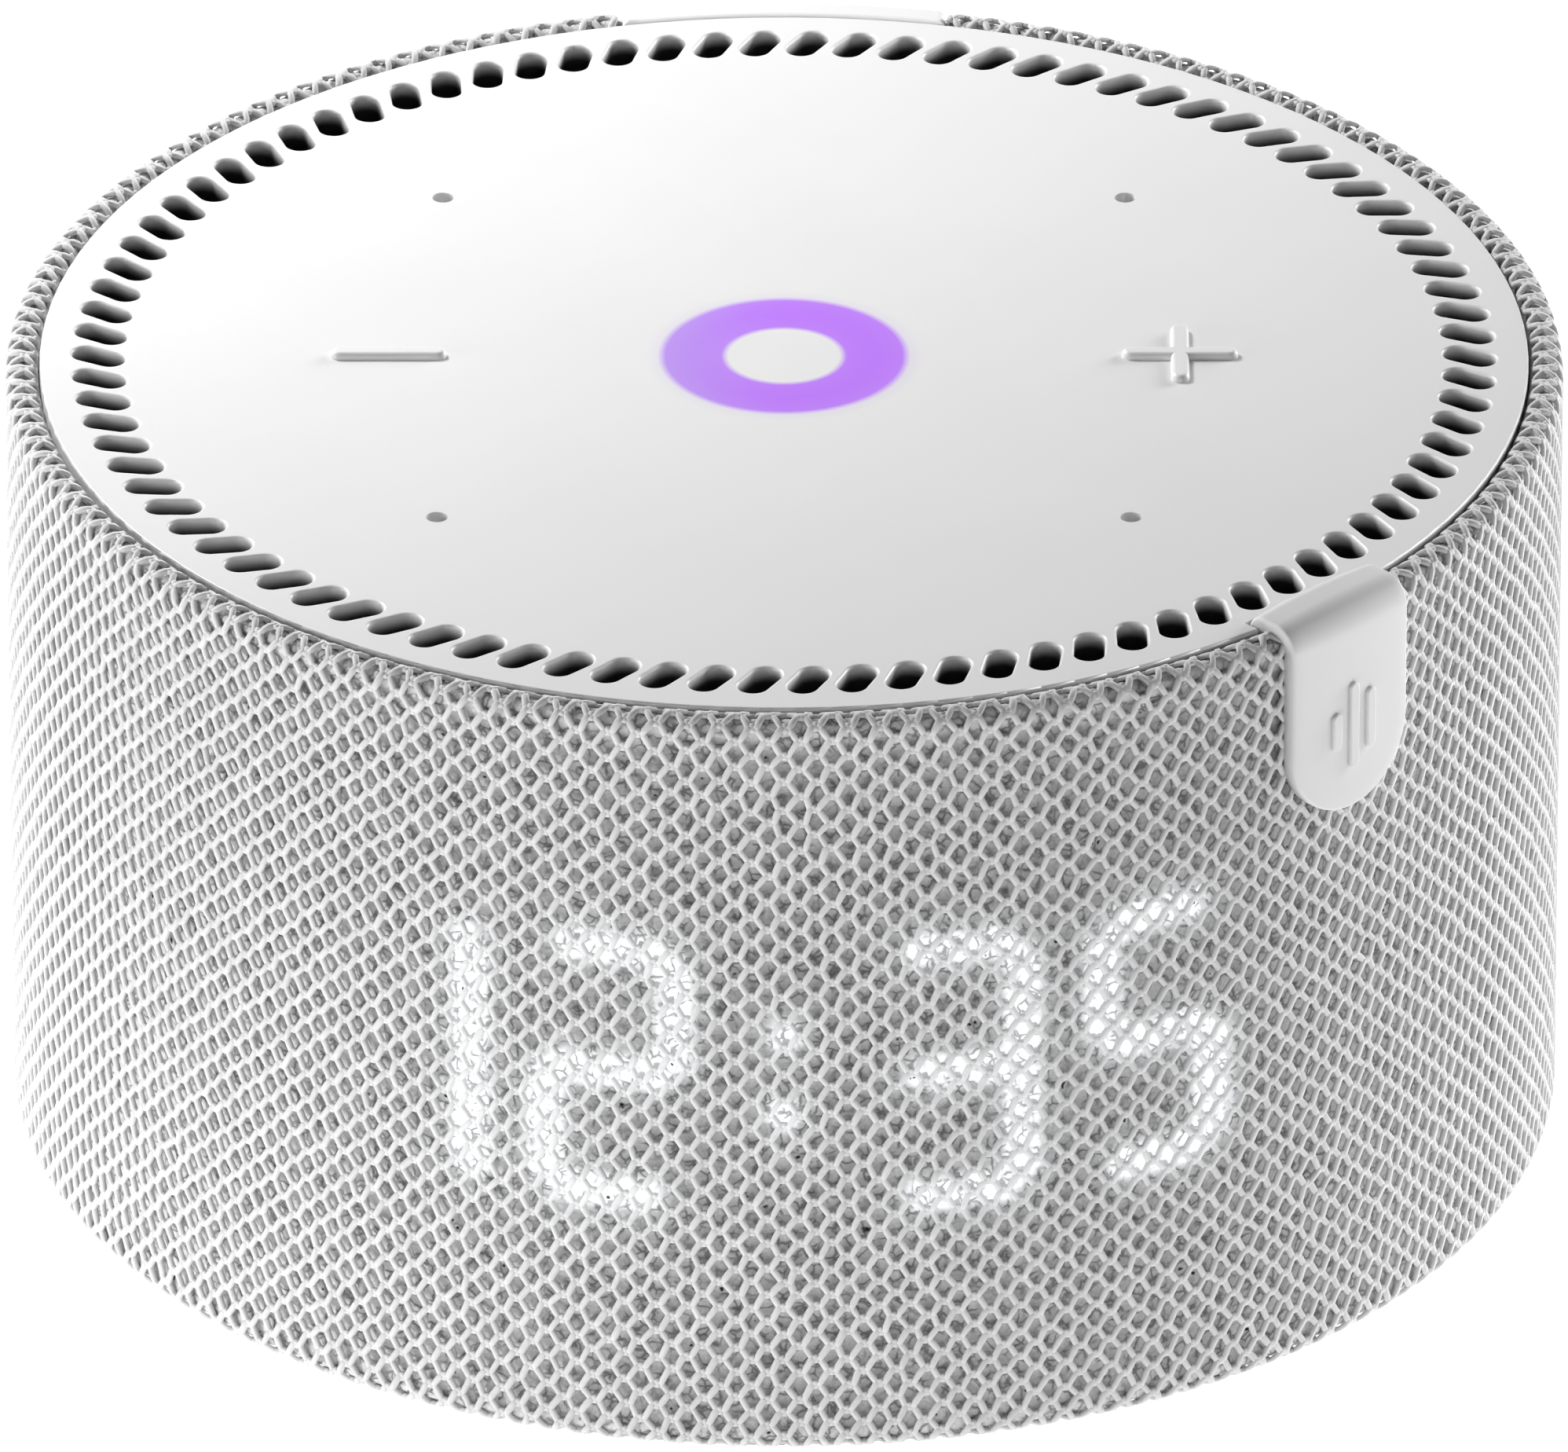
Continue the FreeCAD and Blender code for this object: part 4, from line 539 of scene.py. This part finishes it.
MARK_LENGTHS = [2.6 * MM, 6.0 * MM, 4.2 * MM]


def tag_frame(points):
    """Points as distance from the axis along the tag's middle, distance across it, and height."""
    cosine, sine = math.cos(TAG_AZIMUTH), math.sin(TAG_AZIMUTH)
    return (points[..., 0] * cosine + points[..., 1] * sine, points[..., 1] * cosine - points[..., 0] * sine,
            points[..., 2])


def from_tag_frame(out, across, height):
    """Points in the part's own frame again."""
    cosine, sine = math.cos(TAG_AZIMUTH), math.sin(TAG_AZIMUTH)
    x, y = out * cosine - across * sine, out * sine + across * cosine
    return np.stack(np.broadcast_arrays(x, y, height), axis=-1)


def pressed_by_tag(points):
    """The same points, pushed in where the strap lies on the fabric."""
    out, across, height = tag_frame(points)
    reach = np.hypot(across, np.minimum(height - TAG_END_MIDDLE, 0.0))
    under = (reach < TAG_HALF + 0.05 * MM) & (out > 0)
    out = np.where(under, np.minimum(out, TAG_FACE - TAG_THICKNESS - TAG_CLEARANCE), out)
    height = np.where(under, np.minimum(height, TAG_TOP - TAG_THICKNESS - TAG_CLEARANCE), height)
    return from_tag_frame(out, across, height)


def strap_place(along, across, depth):
    """Points of the strap. along is the length from the root, and depth is below its outer face."""
    depth = depth + TAG_BOW * (across / TAG_HALF) ** 2 - TAG_BOW / 2
    ends = np.cumsum([TAG_ROOT_LENGTH, TAG_ROOT_BEND * math.pi / 2,
                      TAG_FACE - TAG_BEND - TAG_ROOT - TAG_ROOT_BEND, TAG_BEND * math.pi / 2])
    rise, root_turn, flat, turn = [along < end for end in ends]
    root_angle = math.pi - (along - ends[0]) / TAG_ROOT_BEND
    angle = math.pi / 2 - (along - ends[2]) / TAG_BEND
    root_middle = (TAG_ROOT + TAG_ROOT_BEND, TAG_TOP - TAG_ROOT_BEND)
    middle = (TAG_FACE - TAG_BEND, TAG_TOP - TAG_BEND)
    out = np.select([rise, root_turn, flat, turn], [
        TAG_ROOT + depth, root_middle[0] + (TAG_ROOT_BEND - depth) * np.cos(root_angle),
        root_middle[0] + along - ends[1], middle[0] + (TAG_BEND - depth) * np.cos(angle)], TAG_FACE - depth)
    height = np.select([rise, root_turn, flat, turn], [
        root_middle[1] - (ends[0] - along), root_middle[1] + (TAG_ROOT_BEND - depth) * np.sin(root_angle),
        TAG_TOP - depth, middle[1] + (TAG_BEND - depth) * np.sin(angle)], middle[1] - (along - ends[3]))
    return from_tag_frame(out, across, height)


def strap_length(height):
    """The length along the strap, from its root, of a height on its hanging part."""
    bends = (TAG_ROOT_BEND + TAG_BEND) * math.pi / 2
    return (TAG_ROOT_LENGTH + bends + TAG_FACE - TAG_BEND - TAG_ROOT - TAG_ROOT_BEND
            + TAG_TOP - TAG_BEND - height)


def rounded_slab(name, outline, spine, levels, place, closed):
    """Soft-edged slab. Each level is a share of the way from the spine to the outline, and a depth."""
    rows = []
    for share, depth in levels:
        flat = spine + (outline - spine) * share
        rows.append(place(flat[:, 0], flat[:, 1], np.full(len(flat), depth)))
    points = np.stack(rows)
    count = len(outline)
    number = np.arange(points.shape[0] * count).reshape(points.shape[0], count)
    after = np.roll(number, -1, axis=1)
    quads = np.stack([number[:-1], after[:-1], after[1:], number[1:]], axis=-1)
    faces = [(quads if closed else quads[:, :-1]).reshape(-1, 4)]
    if not closed:
        faces.append(np.concatenate([number[:, 0], number[::-1, -1]])[None, :])
    piece = mesh_object(name, points.reshape(-1, 3), faces)
    tidy = bmesh.new()
    tidy.from_mesh(piece.data)
    bmesh.ops.remove_doubles(tidy, verts=tidy.verts, dist=0.001 * MM)
    bmesh.ops.recalc_face_normals(tidy, faces=tidy.faces)
    tidy.to_mesh(piece.data)
    tidy.free()
    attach(piece, "housing")
    return piece


def rounded_levels(half_width, edge, thickness):
    """Levels from the outer face's middle, round its soft edge, and back to the inner face's middle."""
    levels = [(share, 0.0) for share in np.linspace(0.0, 1.0 - edge / half_width, 9)]
    for turn in np.linspace(0.0, math.pi / 2, 6)[1:]:
        levels.append((1.0 - edge * (1.0 - math.sin(turn)) / half_width, edge * (1.0 - math.cos(turn))))
    levels.append((1.0, thickness))
    levels += [(share, thickness) for share in (0.6, 0.3, 0.0)]
    return levels


def make_tag(material):
    """The strap, with a round end, and three plain raised bars on it."""
    end = strap_length(TAG_END_MIDDLE)
    run = np.linspace(0.0, end, 120)[:-1]
    swing = np.linspace(-math.pi / 2, math.pi / 2, 49)
    arc = np.stack([end + TAG_HALF * np.cos(swing), TAG_HALF * np.sin(swing)], axis=-1)
    left = np.stack([run, np.full(len(run), -TAG_HALF)], axis=-1)
    right = np.stack([run[::-1], np.full(len(run), TAG_HALF)], axis=-1)
    outline = np.concatenate([left, arc, right])
    spine = np.stack([np.minimum(outline[:, 0], end), np.zeros(len(outline))], axis=-1)
    strap = rounded_slab("tag_strap", outline, spine, rounded_levels(TAG_HALF, TAG_EDGE, TAG_THICKNESS),
                         strap_place, closed=False)
    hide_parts("fabric_tag")
    pieces = [strap]
    for number, length in enumerate(MARK_LENGTHS):
        reach = length / 2 - MARK_HALF_WIDTH
        swing = np.linspace(0.0, math.pi, 13)
        half = np.stack([reach + MARK_HALF_WIDTH * np.sin(swing), -MARK_HALF_WIDTH * np.cos(swing)], axis=-1)
        outline = np.concatenate([half, -half])
        spine = np.stack([np.clip(outline[:, 0], -reach, reach), np.zeros(len(outline))], axis=-1)
        offset = np.array([strap_length(MARK_MIDDLE), (number - 1) * MARK_PITCH])
        levels = [(share, depth - MARK_HEIGHT)
                  for share, depth in rounded_levels(MARK_HALF_WIDTH, MARK_EDGE, MARK_HEIGHT + MARK_SUNK)]
        pieces.append(rounded_slab(f"tag_mark_{number + 1}", outline + offset, spine + offset, levels,
                                   strap_place, closed=True))
    for piece in pieces:
        piece.data.materials.append(material)


# --- clock digits, seen from the front ---

# digit: middle and half width; the outer ones look narrower, because the display is curved
DIGIT_PLACES = {"1": (-22.95 * MM, 3.45 * MM), "2": (-10.85 * MM, 4.0 * MM),
                "3": (10.8 * MM, 3.97 * MM), "5": (23.2 * MM, 3.45 * MM)}
DIGIT_HEIGHT_MIDDLE = 28.45 * MM
DIGIT_HALF_HEIGHT = 8.62 * MM
SEGMENT_HALF = 1.07 * MM
SEGMENT_OVERLAP = 0.45 * MM  # how far a segment's light goes past its edge
SEGMENT_FADE = 0.8 * MM
HALO_REACH = 1.0 * MM
NET_LIGHT = (1.0, 0.45)  # on the segments, and in the halo round them
BACKING_LIGHT = (0.85, 0.16)
COLON_RISE = 0.3 * MM
COLON_HALF = 2.7 * MM
CORNER_CUT = 1.3 * MM

# Strokes of the digits: x is -1 or 1 and height is -1, 0 or 1.
DIGIT_STROKES = {
    "1": [[(1, 0.88), (1, 0.12)], [(1, -0.12), (1, -0.93)]],
    "2": [[(-0.55, 1), (1, 1), (1, 0), (-1, 0), (-1, -1), (0.55, -1)]],
    "3": [[(-0.55, 1), (1, 1), (1, 0.1)], [(1, -0.1), (1, -1), (-0.55, -1)], [(-0.55, 0), (0.7, 0)]],
    "5": [[(0.55, 1), (-1, 1), (-1, 0), (1, 0), (1, -1), (-0.55, -1)]],
}


def cut_corners(points):
    """The same line with each inner corner cut off."""
    line = [points[0]]
    for before, corner, after in zip(points, points[1:], points[2:]):
        for other in (before, after):
            line.append(corner + (other - corner).normalized() * CORNER_CUT)
    line.append(points[-1])
    return line


def lit_lines():
    """Straight stretches of light, as pairs of (x, z) ends."""
    stretches = []
    for digit, strokes in DIGIT_STROKES.items():
        middle, half_width = DIGIT_PLACES[digit]
        for stroke in strokes:
            points = [Vector((middle + x * half_width, DIGIT_HEIGHT_MIDDLE + z * DIGIT_HALF_HEIGHT))
                      for x, z in stroke]
            line = cut_corners(points)
            stretches += list(zip(line, line[1:]))
    for side in (-1, 1):
        dot = Vector((0.0, DIGIT_HEIGHT_MIDDLE + COLON_RISE + side * COLON_HALF))
        stretches.append((dot, dot + Vector((0.0, 1e-6))))
    return stretches


def clock_glow(points, core, halo):
    """How much of the clock's light comes through at each point: a core on each segment, and a faint halo."""
    front = points[..., 1] < 0
    distance = np.full(points.shape[:-1], 1.0)
    for start, end in lit_lines():
        run = np.array(end - start)
        offset = np.stack([points[..., 0] - start.x, points[..., 2] - start.y], axis=-1)
        share = np.clip((offset @ run) / (run @ run), 0.0, 1.0)
        distance = np.minimum(distance, np.linalg.norm(offset - share[..., None] * run, axis=-1))
    inside = np.clip((SEGMENT_HALF + SEGMENT_OVERLAP - distance) / SEGMENT_FADE, 0.0, 1.0)
    spill = np.exp(-np.clip(distance - SEGMENT_HALF, 0.0, None) / HALO_REACH)
    return np.where(front, core * inside * inside * (3 - 2 * inside) + halo * spill, 0.0)


# --- knitted net ---

WALES = 308  # zigzag yarns round the body
ROW_PITCH = 0.93 * MM  # between the places where a yarn changes direction
WALE_PITCH = 2 * math.pi * BODY_RADIUS / WALES
SWING = 0.27 * WALE_PITCH  # how far a yarn swings each side of its middle
SHAKE_AROUND = 0.055 * MM  # how uneven the turns are
SHAKE_ALONG = 0.07 * MM
WAVE_HEIGHT = 0.22 * MM  # slow waves of the rows
FIRST_ROW = -0.25 * MM
ROWS = int((PATH_LENGTH - FIRST_ROW) / ROW_PITCH)
NET_SECTORS = 13
YARN_HALF_WIDTH = 0.222 * MM
WIDTH_SPREAD = 0.06
# for yarns that lean one way and the other: how much longer each end is, and how far in it lies
YARN_WAYS = ((1, 0.20 * MM, 0.0), (-1, 0.17 * MM, 0.035 * MM))
KNOT_HALF_LENGTH = 0.32 * MM
KNOT_HALF_WIDTH = 0.27 * MM
KNOT_DEPTH = 0.03 * MM
FOOT_SHARE = 0.6  # how many knots have a loop that runs back to the cloth
FOOT_BELOW = 0.05 * MM
FOOT_SHAKE = 0.06 * MM
FOOT_RISE = (0.18 * MM, 0.36 * MM)
FOOT_DEPTHS = (0.26 * MM, 0.55 * MM)
FOOT_HALF_WIDTH = 0.22 * MM
FOOT_HALF_DEPTH = 0.14 * MM


def net_nodes():
    """Where each yarn turns, as (around, along) arrays over yarns and rows, and each turn's side."""
    random = np.random.default_rng(7)
    yarn_number, row = np.meshgrid(np.arange(WALES), np.arange(ROWS + 1), indexing="ij")
    side = np.where((yarn_number + row) % 2 == 0, 1, -1)
    around = (yarn_number + 0.5 - WALES / 2) * WALE_PITCH + side * SWING
    along = FIRST_ROW + row * ROW_PITCH
    shake_around = random.normal(0.0, SHAKE_AROUND, around.shape)
    shake_along = random.normal(0.0, SHAKE_ALONG, around.shape)
    # two yarns meet at each turn, so both take the shake of the left one
    partner = np.where(side > 0, yarn_number, (yarn_number - 1) % WALES)
    around = around + shake_around[partner, row]
    along = along + shake_along[partner, row]
    wave = np.sin(around / (17 * MM) + 1.3) * np.sin(along / (13 * MM)) * WAVE_HEIGHT
    along = along + wave * np.clip((along - ROLL_LENGTH) / (6 * MM), 0.0, 1.0)
    return around, np.clip(along, 0.0, PATH_LENGTH), side


STROKE_STOPS = np.array([0.0, 0.035, 0.13, 0.38, 0.62, 0.87, 0.965, 1.0])  # tip, rings, tip
STROKE_WIDTHS = np.array([0.6, 1.0, 1.0, 1.0, 1.0, 0.6])
RINGS = len(STROKE_WIDTHS)
# a yarn's section: a flattened round, as shares of its half width and half depth
SECTION = np.array([(1.0, 0.0), (0.68, 0.9), (-0.68, 0.9), (-1.0, 0.0), (-0.68, -0.9), (0.68, -0.9)])
RING_SIDES = len(SECTION)


def tubes(start, end, depth_start, depth_end, half_width, half_depth):
    """Capsules that follow the fabric between (around, along) ends, as points, quads and triangles."""
    count = len(start[0])
    stops = STROKE_STOPS[None, :]
    around = start[0][:, None] * (1 - stops) + end[0][:, None] * stops
    along = np.clip(start[1][:, None] * (1 - stops) + end[1][:, None] * stops, 0.0, PATH_LENGTH)
    depth = depth_start[:, None] * (1 - stops) + depth_end[:, None] * stops
    centre = fabric_points(around, along, depth)
    normal = fabric_normals(around, along)
    run = np.gradient(centre, axis=1)
    run /= np.linalg.norm(run, axis=2, keepdims=True)
    across = np.cross(run, normal)
    across /= np.linalg.norm(across, axis=2, keepdims=True)
    half_widths = np.broadcast_to(half_width, count)[:, None, None, None]
    sideways = half_widths * SECTION[None, None, :, :1] * STROKE_WIDTHS[None, :, None, None]
    outward = (SECTION[:, 1] * half_depth)[None, None, :, None] * STROKE_WIDTHS[None, :, None, None]
    middle, right, out = [axis[:, 1:-1, None, :] for axis in (centre, across, normal)]
    ring = middle + right * sideways + out * outward
    points = np.concatenate([centre[:, :1], ring.reshape(count, -1, 3), centre[:, -1:]], axis=1)
    per_tube = points.shape[1]
    quads, caps = [], []
    for k in range(RING_SIDES):
        after = (k + 1) % RING_SIDES
        caps.append([0, 1 + after, 1 + k])
        last = 1 + (RINGS - 1) * RING_SIDES
        caps.append([per_tube - 1, last + k, last + after])
        for level in range(RINGS - 1):
            low, high = 1 + level * RING_SIDES, 1 + (level + 1) * RING_SIDES
            quads.append([low + k, low + after, high + after, high + k])
    base = (np.arange(count) * per_tube)[:, None, None]
    return (points.reshape(-1, 3), (np.array(quads)[None] + base).reshape(-1, 4),
            (np.array(caps)[None] + base).reshape(-1, 3))


def join_parts(parts):
    """Several (points, quads, triangles) as one."""
    points, quads, triangles, total = [], [], [], 0
    for part_points, part_quads, part_triangles in parts:
        points.append(part_points)
        quads.append(part_quads + total)
        triangles.append(part_triangles + total)
        total += len(part_points)
    return np.concatenate(points), np.concatenate(quads), np.concatenate(triangles)


def net_strokes(around, along, side, yarns):
    """Ends of every straight stretch of these yarns, as flat arrays, and which way each leans."""
    chosen_around, chosen_along, chosen_side = around[yarns], along[yarns], side[yarns]
    start = (chosen_around[:, :-1].ravel(), chosen_along[:, :-1].ravel())
    end = (chosen_around[:, 1:].ravel(), chosen_along[:, 1:].ravel())
    return start, end, chosen_side[:, :-1].ravel()


def stretched(start, end, extra):
    """The same stretches, longer at both ends."""
    run = (end[0] - start[0], end[1] - start[1])
    length = np.hypot(*run)
    share = extra / length
    return ((start[0] - run[0] * share, start[1] - run[1] * share),
            (end[0] + run[0] * share, end[1] + run[1] * share))


def shown(start, end):
    """Which stretches lie clear of the rear panel."""
    return np.abs(start[0] + end[0]) / 2 < REAR_EDGE


def chosen(use, *ends):
    """Only these stretches of the arrays of ends."""
    return [tuple(axis[use] for axis in point) for point in ends]


def make_net(material):
    """The open net, in sectors round the body."""
    around, along, side = net_nodes()
    random = np.random.default_rng(11)
    pieces = []
    kept = [i for i in range(WALES) if abs((i + 0.5 - WALES / 2) * WALE_PITCH) < REAR_EDGE]
    for number, yarns in enumerate(np.array_split(np.array(kept), NET_SECTORS), start=1):
        parts = []
        start, end, lean = net_strokes(around, along, side, yarns)
        for way, extra, depth in YARN_WAYS:
            first, last = chosen((lean == way) & shown(start, end), *stretched(start, end, extra))
            depths = np.full(len(first[0]), depth)
            half_widths = YARN_HALF_WIDTH * random.normal(1.0, WIDTH_SPREAD, len(first[0]))
            parts.append(tubes(first, last, depths, depths, half_widths, YARN_HALF_DEPTH))
        # two yarns are knitted together where they meet
        meets = side[yarns][:, 1:-1] > 0
        knot_around = (around[yarns][:, 1:-1] + WALE_PITCH / 2 - SWING)[meets]
        knot_along = along[yarns][:, 1:-1][meets]
        lower, upper = [(knot_around, knot_along + reach) for reach in (KNOT_HALF_LENGTH, -KNOT_HALF_LENGTH)]
        lower, upper = chosen(shown(lower, upper), lower, upper)
        depths = np.full(len(lower[0]), KNOT_DEPTH)
        parts.append(tubes(lower, upper, depths, depths, KNOT_HALF_WIDTH, YARN_HALF_DEPTH))
        # above many of these places a soft loop runs back to the cloth in the hole's lower end
        meets &= random.random(meets.shape) < FOOT_SHARE
        foot_around = (around[yarns][:, 1:-1] + WALE_PITCH / 2 - SWING)[meets]
        foot_along = along[yarns][:, 1:-1][meets]
        lower = (foot_around, foot_along + FOOT_BELOW)
        upper = (foot_around + random.normal(0.0, FOOT_SHAKE, len(foot_around)),
                 foot_along - random.uniform(*FOOT_RISE, len(foot_around)))
        lower, upper = chosen(shown(lower, upper), lower, upper)
        depths = [np.full(len(lower[0]), depth) for depth in FOOT_DEPTHS]
        parts.append(tubes(lower, upper, *depths, FOOT_HALF_WIDTH, FOOT_HALF_DEPTH))
        points, quads, triangles = join_parts(parts)
        points = pressed_by_tag(points)
        piece = mesh_object(f"knit_net_{number}", points, [quads, triangles])
        unroll(piece)
        set_attribute(piece, "glow", clock_glow(points, *NET_LIGHT))
        piece.data.materials.append(material)
        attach(piece, "housing")
        pieces.append(piece)
    return pieces


BACKING_DEPTH = 0.60 * MM
BACKING_ROLL_DEPTH = 0.28 * MM
BACKING_HEM_DEPTH = 0.26 * MM
BACKING_STEP = 0.42 * MM
ROLL_FADE = 2 * MM  # lengths over which the backing comes closer to the net
HEM_FADE = 1.5 * MM


def make_backing(material):
    """The grey cloth behind the net, one sheet from the groove at the plate to the hem under the base."""
    columns = int(2 * REAR_EDGE / BACKING_STEP)
    rows = int(PATH_LENGTH / BACKING_STEP)
    around, along = np.meshgrid(np.linspace(-REAR_EDGE, REAR_EDGE, columns + 1),
                                np.linspace(0.0, PATH_LENGTH, rows + 1), indexing="ij")
    side_end = ROLL_LENGTH + SIDE_LENGTH
    depth = np.interp(along, [ROLL_LENGTH, ROLL_LENGTH + ROLL_FADE, side_end - HEM_FADE, side_end],
                      [BACKING_ROLL_DEPTH, BACKING_DEPTH, BACKING_DEPTH, BACKING_HEM_DEPTH])
    points = pressed_by_tag(fabric_points(around, along, depth))
    number = np.arange(around.size).reshape(around.shape)
    quads = np.stack([number[:-1, :-1], number[:-1, 1:], number[1:, 1:], number[1:, :-1]], axis=-1)
    points = points.reshape(-1, 3)
    piece = mesh_object("backing_cloth", points, [quads.reshape(-1, 4)])
    unroll(piece)
    set_attribute(piece, "glow", clock_glow(points, *BACKING_LIGHT))
    piece.data.materials.append(material)
    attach(piece, "housing")
    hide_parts("fabric_sleeve")


# --- the driver's spider: a corrugated cloth ring, in wedges ---

SPIDER_WEDGES = 12
SPIDER_INNER = 8.2 * MM
SPIDER_OUTER = 16.0 * MM
SPIDER_MIDDLE = 31.75 * MM
SPIDER_WAVE = 0.25 * MM
SPIDER_WAVES = 3.5
SPIDER_HALF_THICKNESS = 0.15 * MM
SPIDER_RINGS = 43
SPIDER_TURNS = 9


def make_spider():
    """Wedges of the corrugated ring, from the cone at its inner end to the basket at its outer end."""
    share = np.linspace(0.0, 1.0, SPIDER_RINGS)
    radius = SPIDER_INNER + (SPIDER_OUTER - SPIDER_INNER) * share
    height = SPIDER_MIDDLE + SPIDER_WAVE * np.sin(2 * math.pi * SPIDER_WAVES * share)
    # the section runs out along the top and back along the underside
    radii = np.concatenate([radius, radius[::-1]])
    heights = np.concatenate([height + SPIDER_HALF_THICKNESS, height[::-1] - SPIDER_HALF_THICKNESS])
    index = np.arange(SPIDER_TURNS * len(radii)).reshape(SPIDER_TURNS, len(radii))
    after = np.roll(index, -1, axis=1)
    walls = np.stack([index[:-1], after[:-1], after[1:], index[1:]], axis=-1).reshape(-1, 4)
    top, under = index[:, :SPIDER_RINGS], index[:, SPIDER_RINGS:][:, ::-1]
    first_end = np.stack([top[0, :-1], under[0, :-1], under[0, 1:], top[0, 1:]], axis=-1)
    last_end = np.stack([top[-1, :-1], top[-1, 1:], under[-1, 1:], under[-1, :-1]], axis=-1)
    wedge = 2 * math.pi / SPIDER_WEDGES
    for number in range(SPIDER_WEDGES):
        turns = ((number + np.linspace(0.0, 1.0, SPIDER_TURNS)) * wedge)[:, None]
        places = np.broadcast_arrays(radii * np.cos(turns), radii * np.sin(turns), heights)
        points = np.stack(places, axis=-1).reshape(-1, 3)
        piece = mesh_object(f"spider_{number + 1}", points, [walls, first_end, last_end])
        piece.data.materials.append(NODES["driver_spider"].material_slots[0].material)
        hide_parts("driver_spider")
        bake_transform(piece)


# --- floor and light ---

FLOOR_GLOW = 0.97  # a light table: white on every side of the object
FLOOR_HALF = 3.0


def make_floor():
    """A pale floor under the object."""
    corners = [(-1, -1), (1, -1), (1, 1), (-1, 1)]
    points = np.array([[x * FLOOR_HALF, y * FLOOR_HALF, 0.0] for x, y in corners])
    floor = mesh_object("floor", points, [np.array([[0, 1, 2, 3]])], smooth=False)
    material, shader = new_material("floor_paper", grey(0.93), 0.9)
    tone = ramp(material, noise(material, position(material), 300.0), [(0.3, grey(0.92)), (0.7, grey(0.94))])
    link(material, tone, shader.inputs["Base Color"])
    shader.inputs["Emission Color"].default_value = (1.0, 1.0, 1.0, 1.0)
    shader.inputs["Emission Strength"].default_value = FLOOR_GLOW
    floor.data.materials.append(material)


def make_light(name, place, aim, size, power):
    data = bpy.data.lights.new(name, "AREA")
    data.shape = "DISK"
    data.size = size
    data.energy = power
    light = bpy.data.objects.new(name, data)
    light.location = place
    light.rotation_mode = "QUATERNION"
    light.rotation_quaternion = (Vector(aim) - Vector(place)).to_track_quat("-Z", "Y")
    bpy.context.scene.collection.objects.link(light)


# Soft round lights: place and aim in metres, width in metres, power in watts.
LIGHTS = {
    "near_light": ((-0.13, 0.13, 0.20), (0.0, 0.0, 0.05), 0.08, 0.662),
    "left_light": ((-0.60, -0.25, 0.12), (0.0, 0.0, 0.03), 0.30, 2.465),
    "right_back_light": ((0.55, 0.40, 0.20), (0.0, 0.0, 0.03), 0.30, 4.74),
    "right_light": ((0.65, -0.05, 0.15), (0.0, 0.0, 0.03), 0.30, 0.455),
    "front_light": ((0.10, -0.80, 0.35), (0.0, 0.0, 0.03), 0.40, 0.744),
}
SKY_STRENGTH = 0.05


def make_lighting():
    world = bpy.data.worlds.new("studio")
    world.use_nodes = True
    sky = world.node_tree.nodes["Background"]
    sky.inputs["Color"].default_value = (1.0, 1.0, 1.0, 1.0)
    sky.inputs["Strength"].default_value = SKY_STRENGTH
    bpy.context.scene.world = world
    for name, (place, aim, size, power) in LIGHTS.items():
        make_light(name, place, aim, size, power)
    bpy.context.scene.view_settings.view_transform = "Standard"


make_camera()
dress_cad_nodes()
knit_net = make_net(yarn())
make_backing(backing_fabric())
make_tag(tag_silicone())
make_spider()
make_floor()
make_lighting()
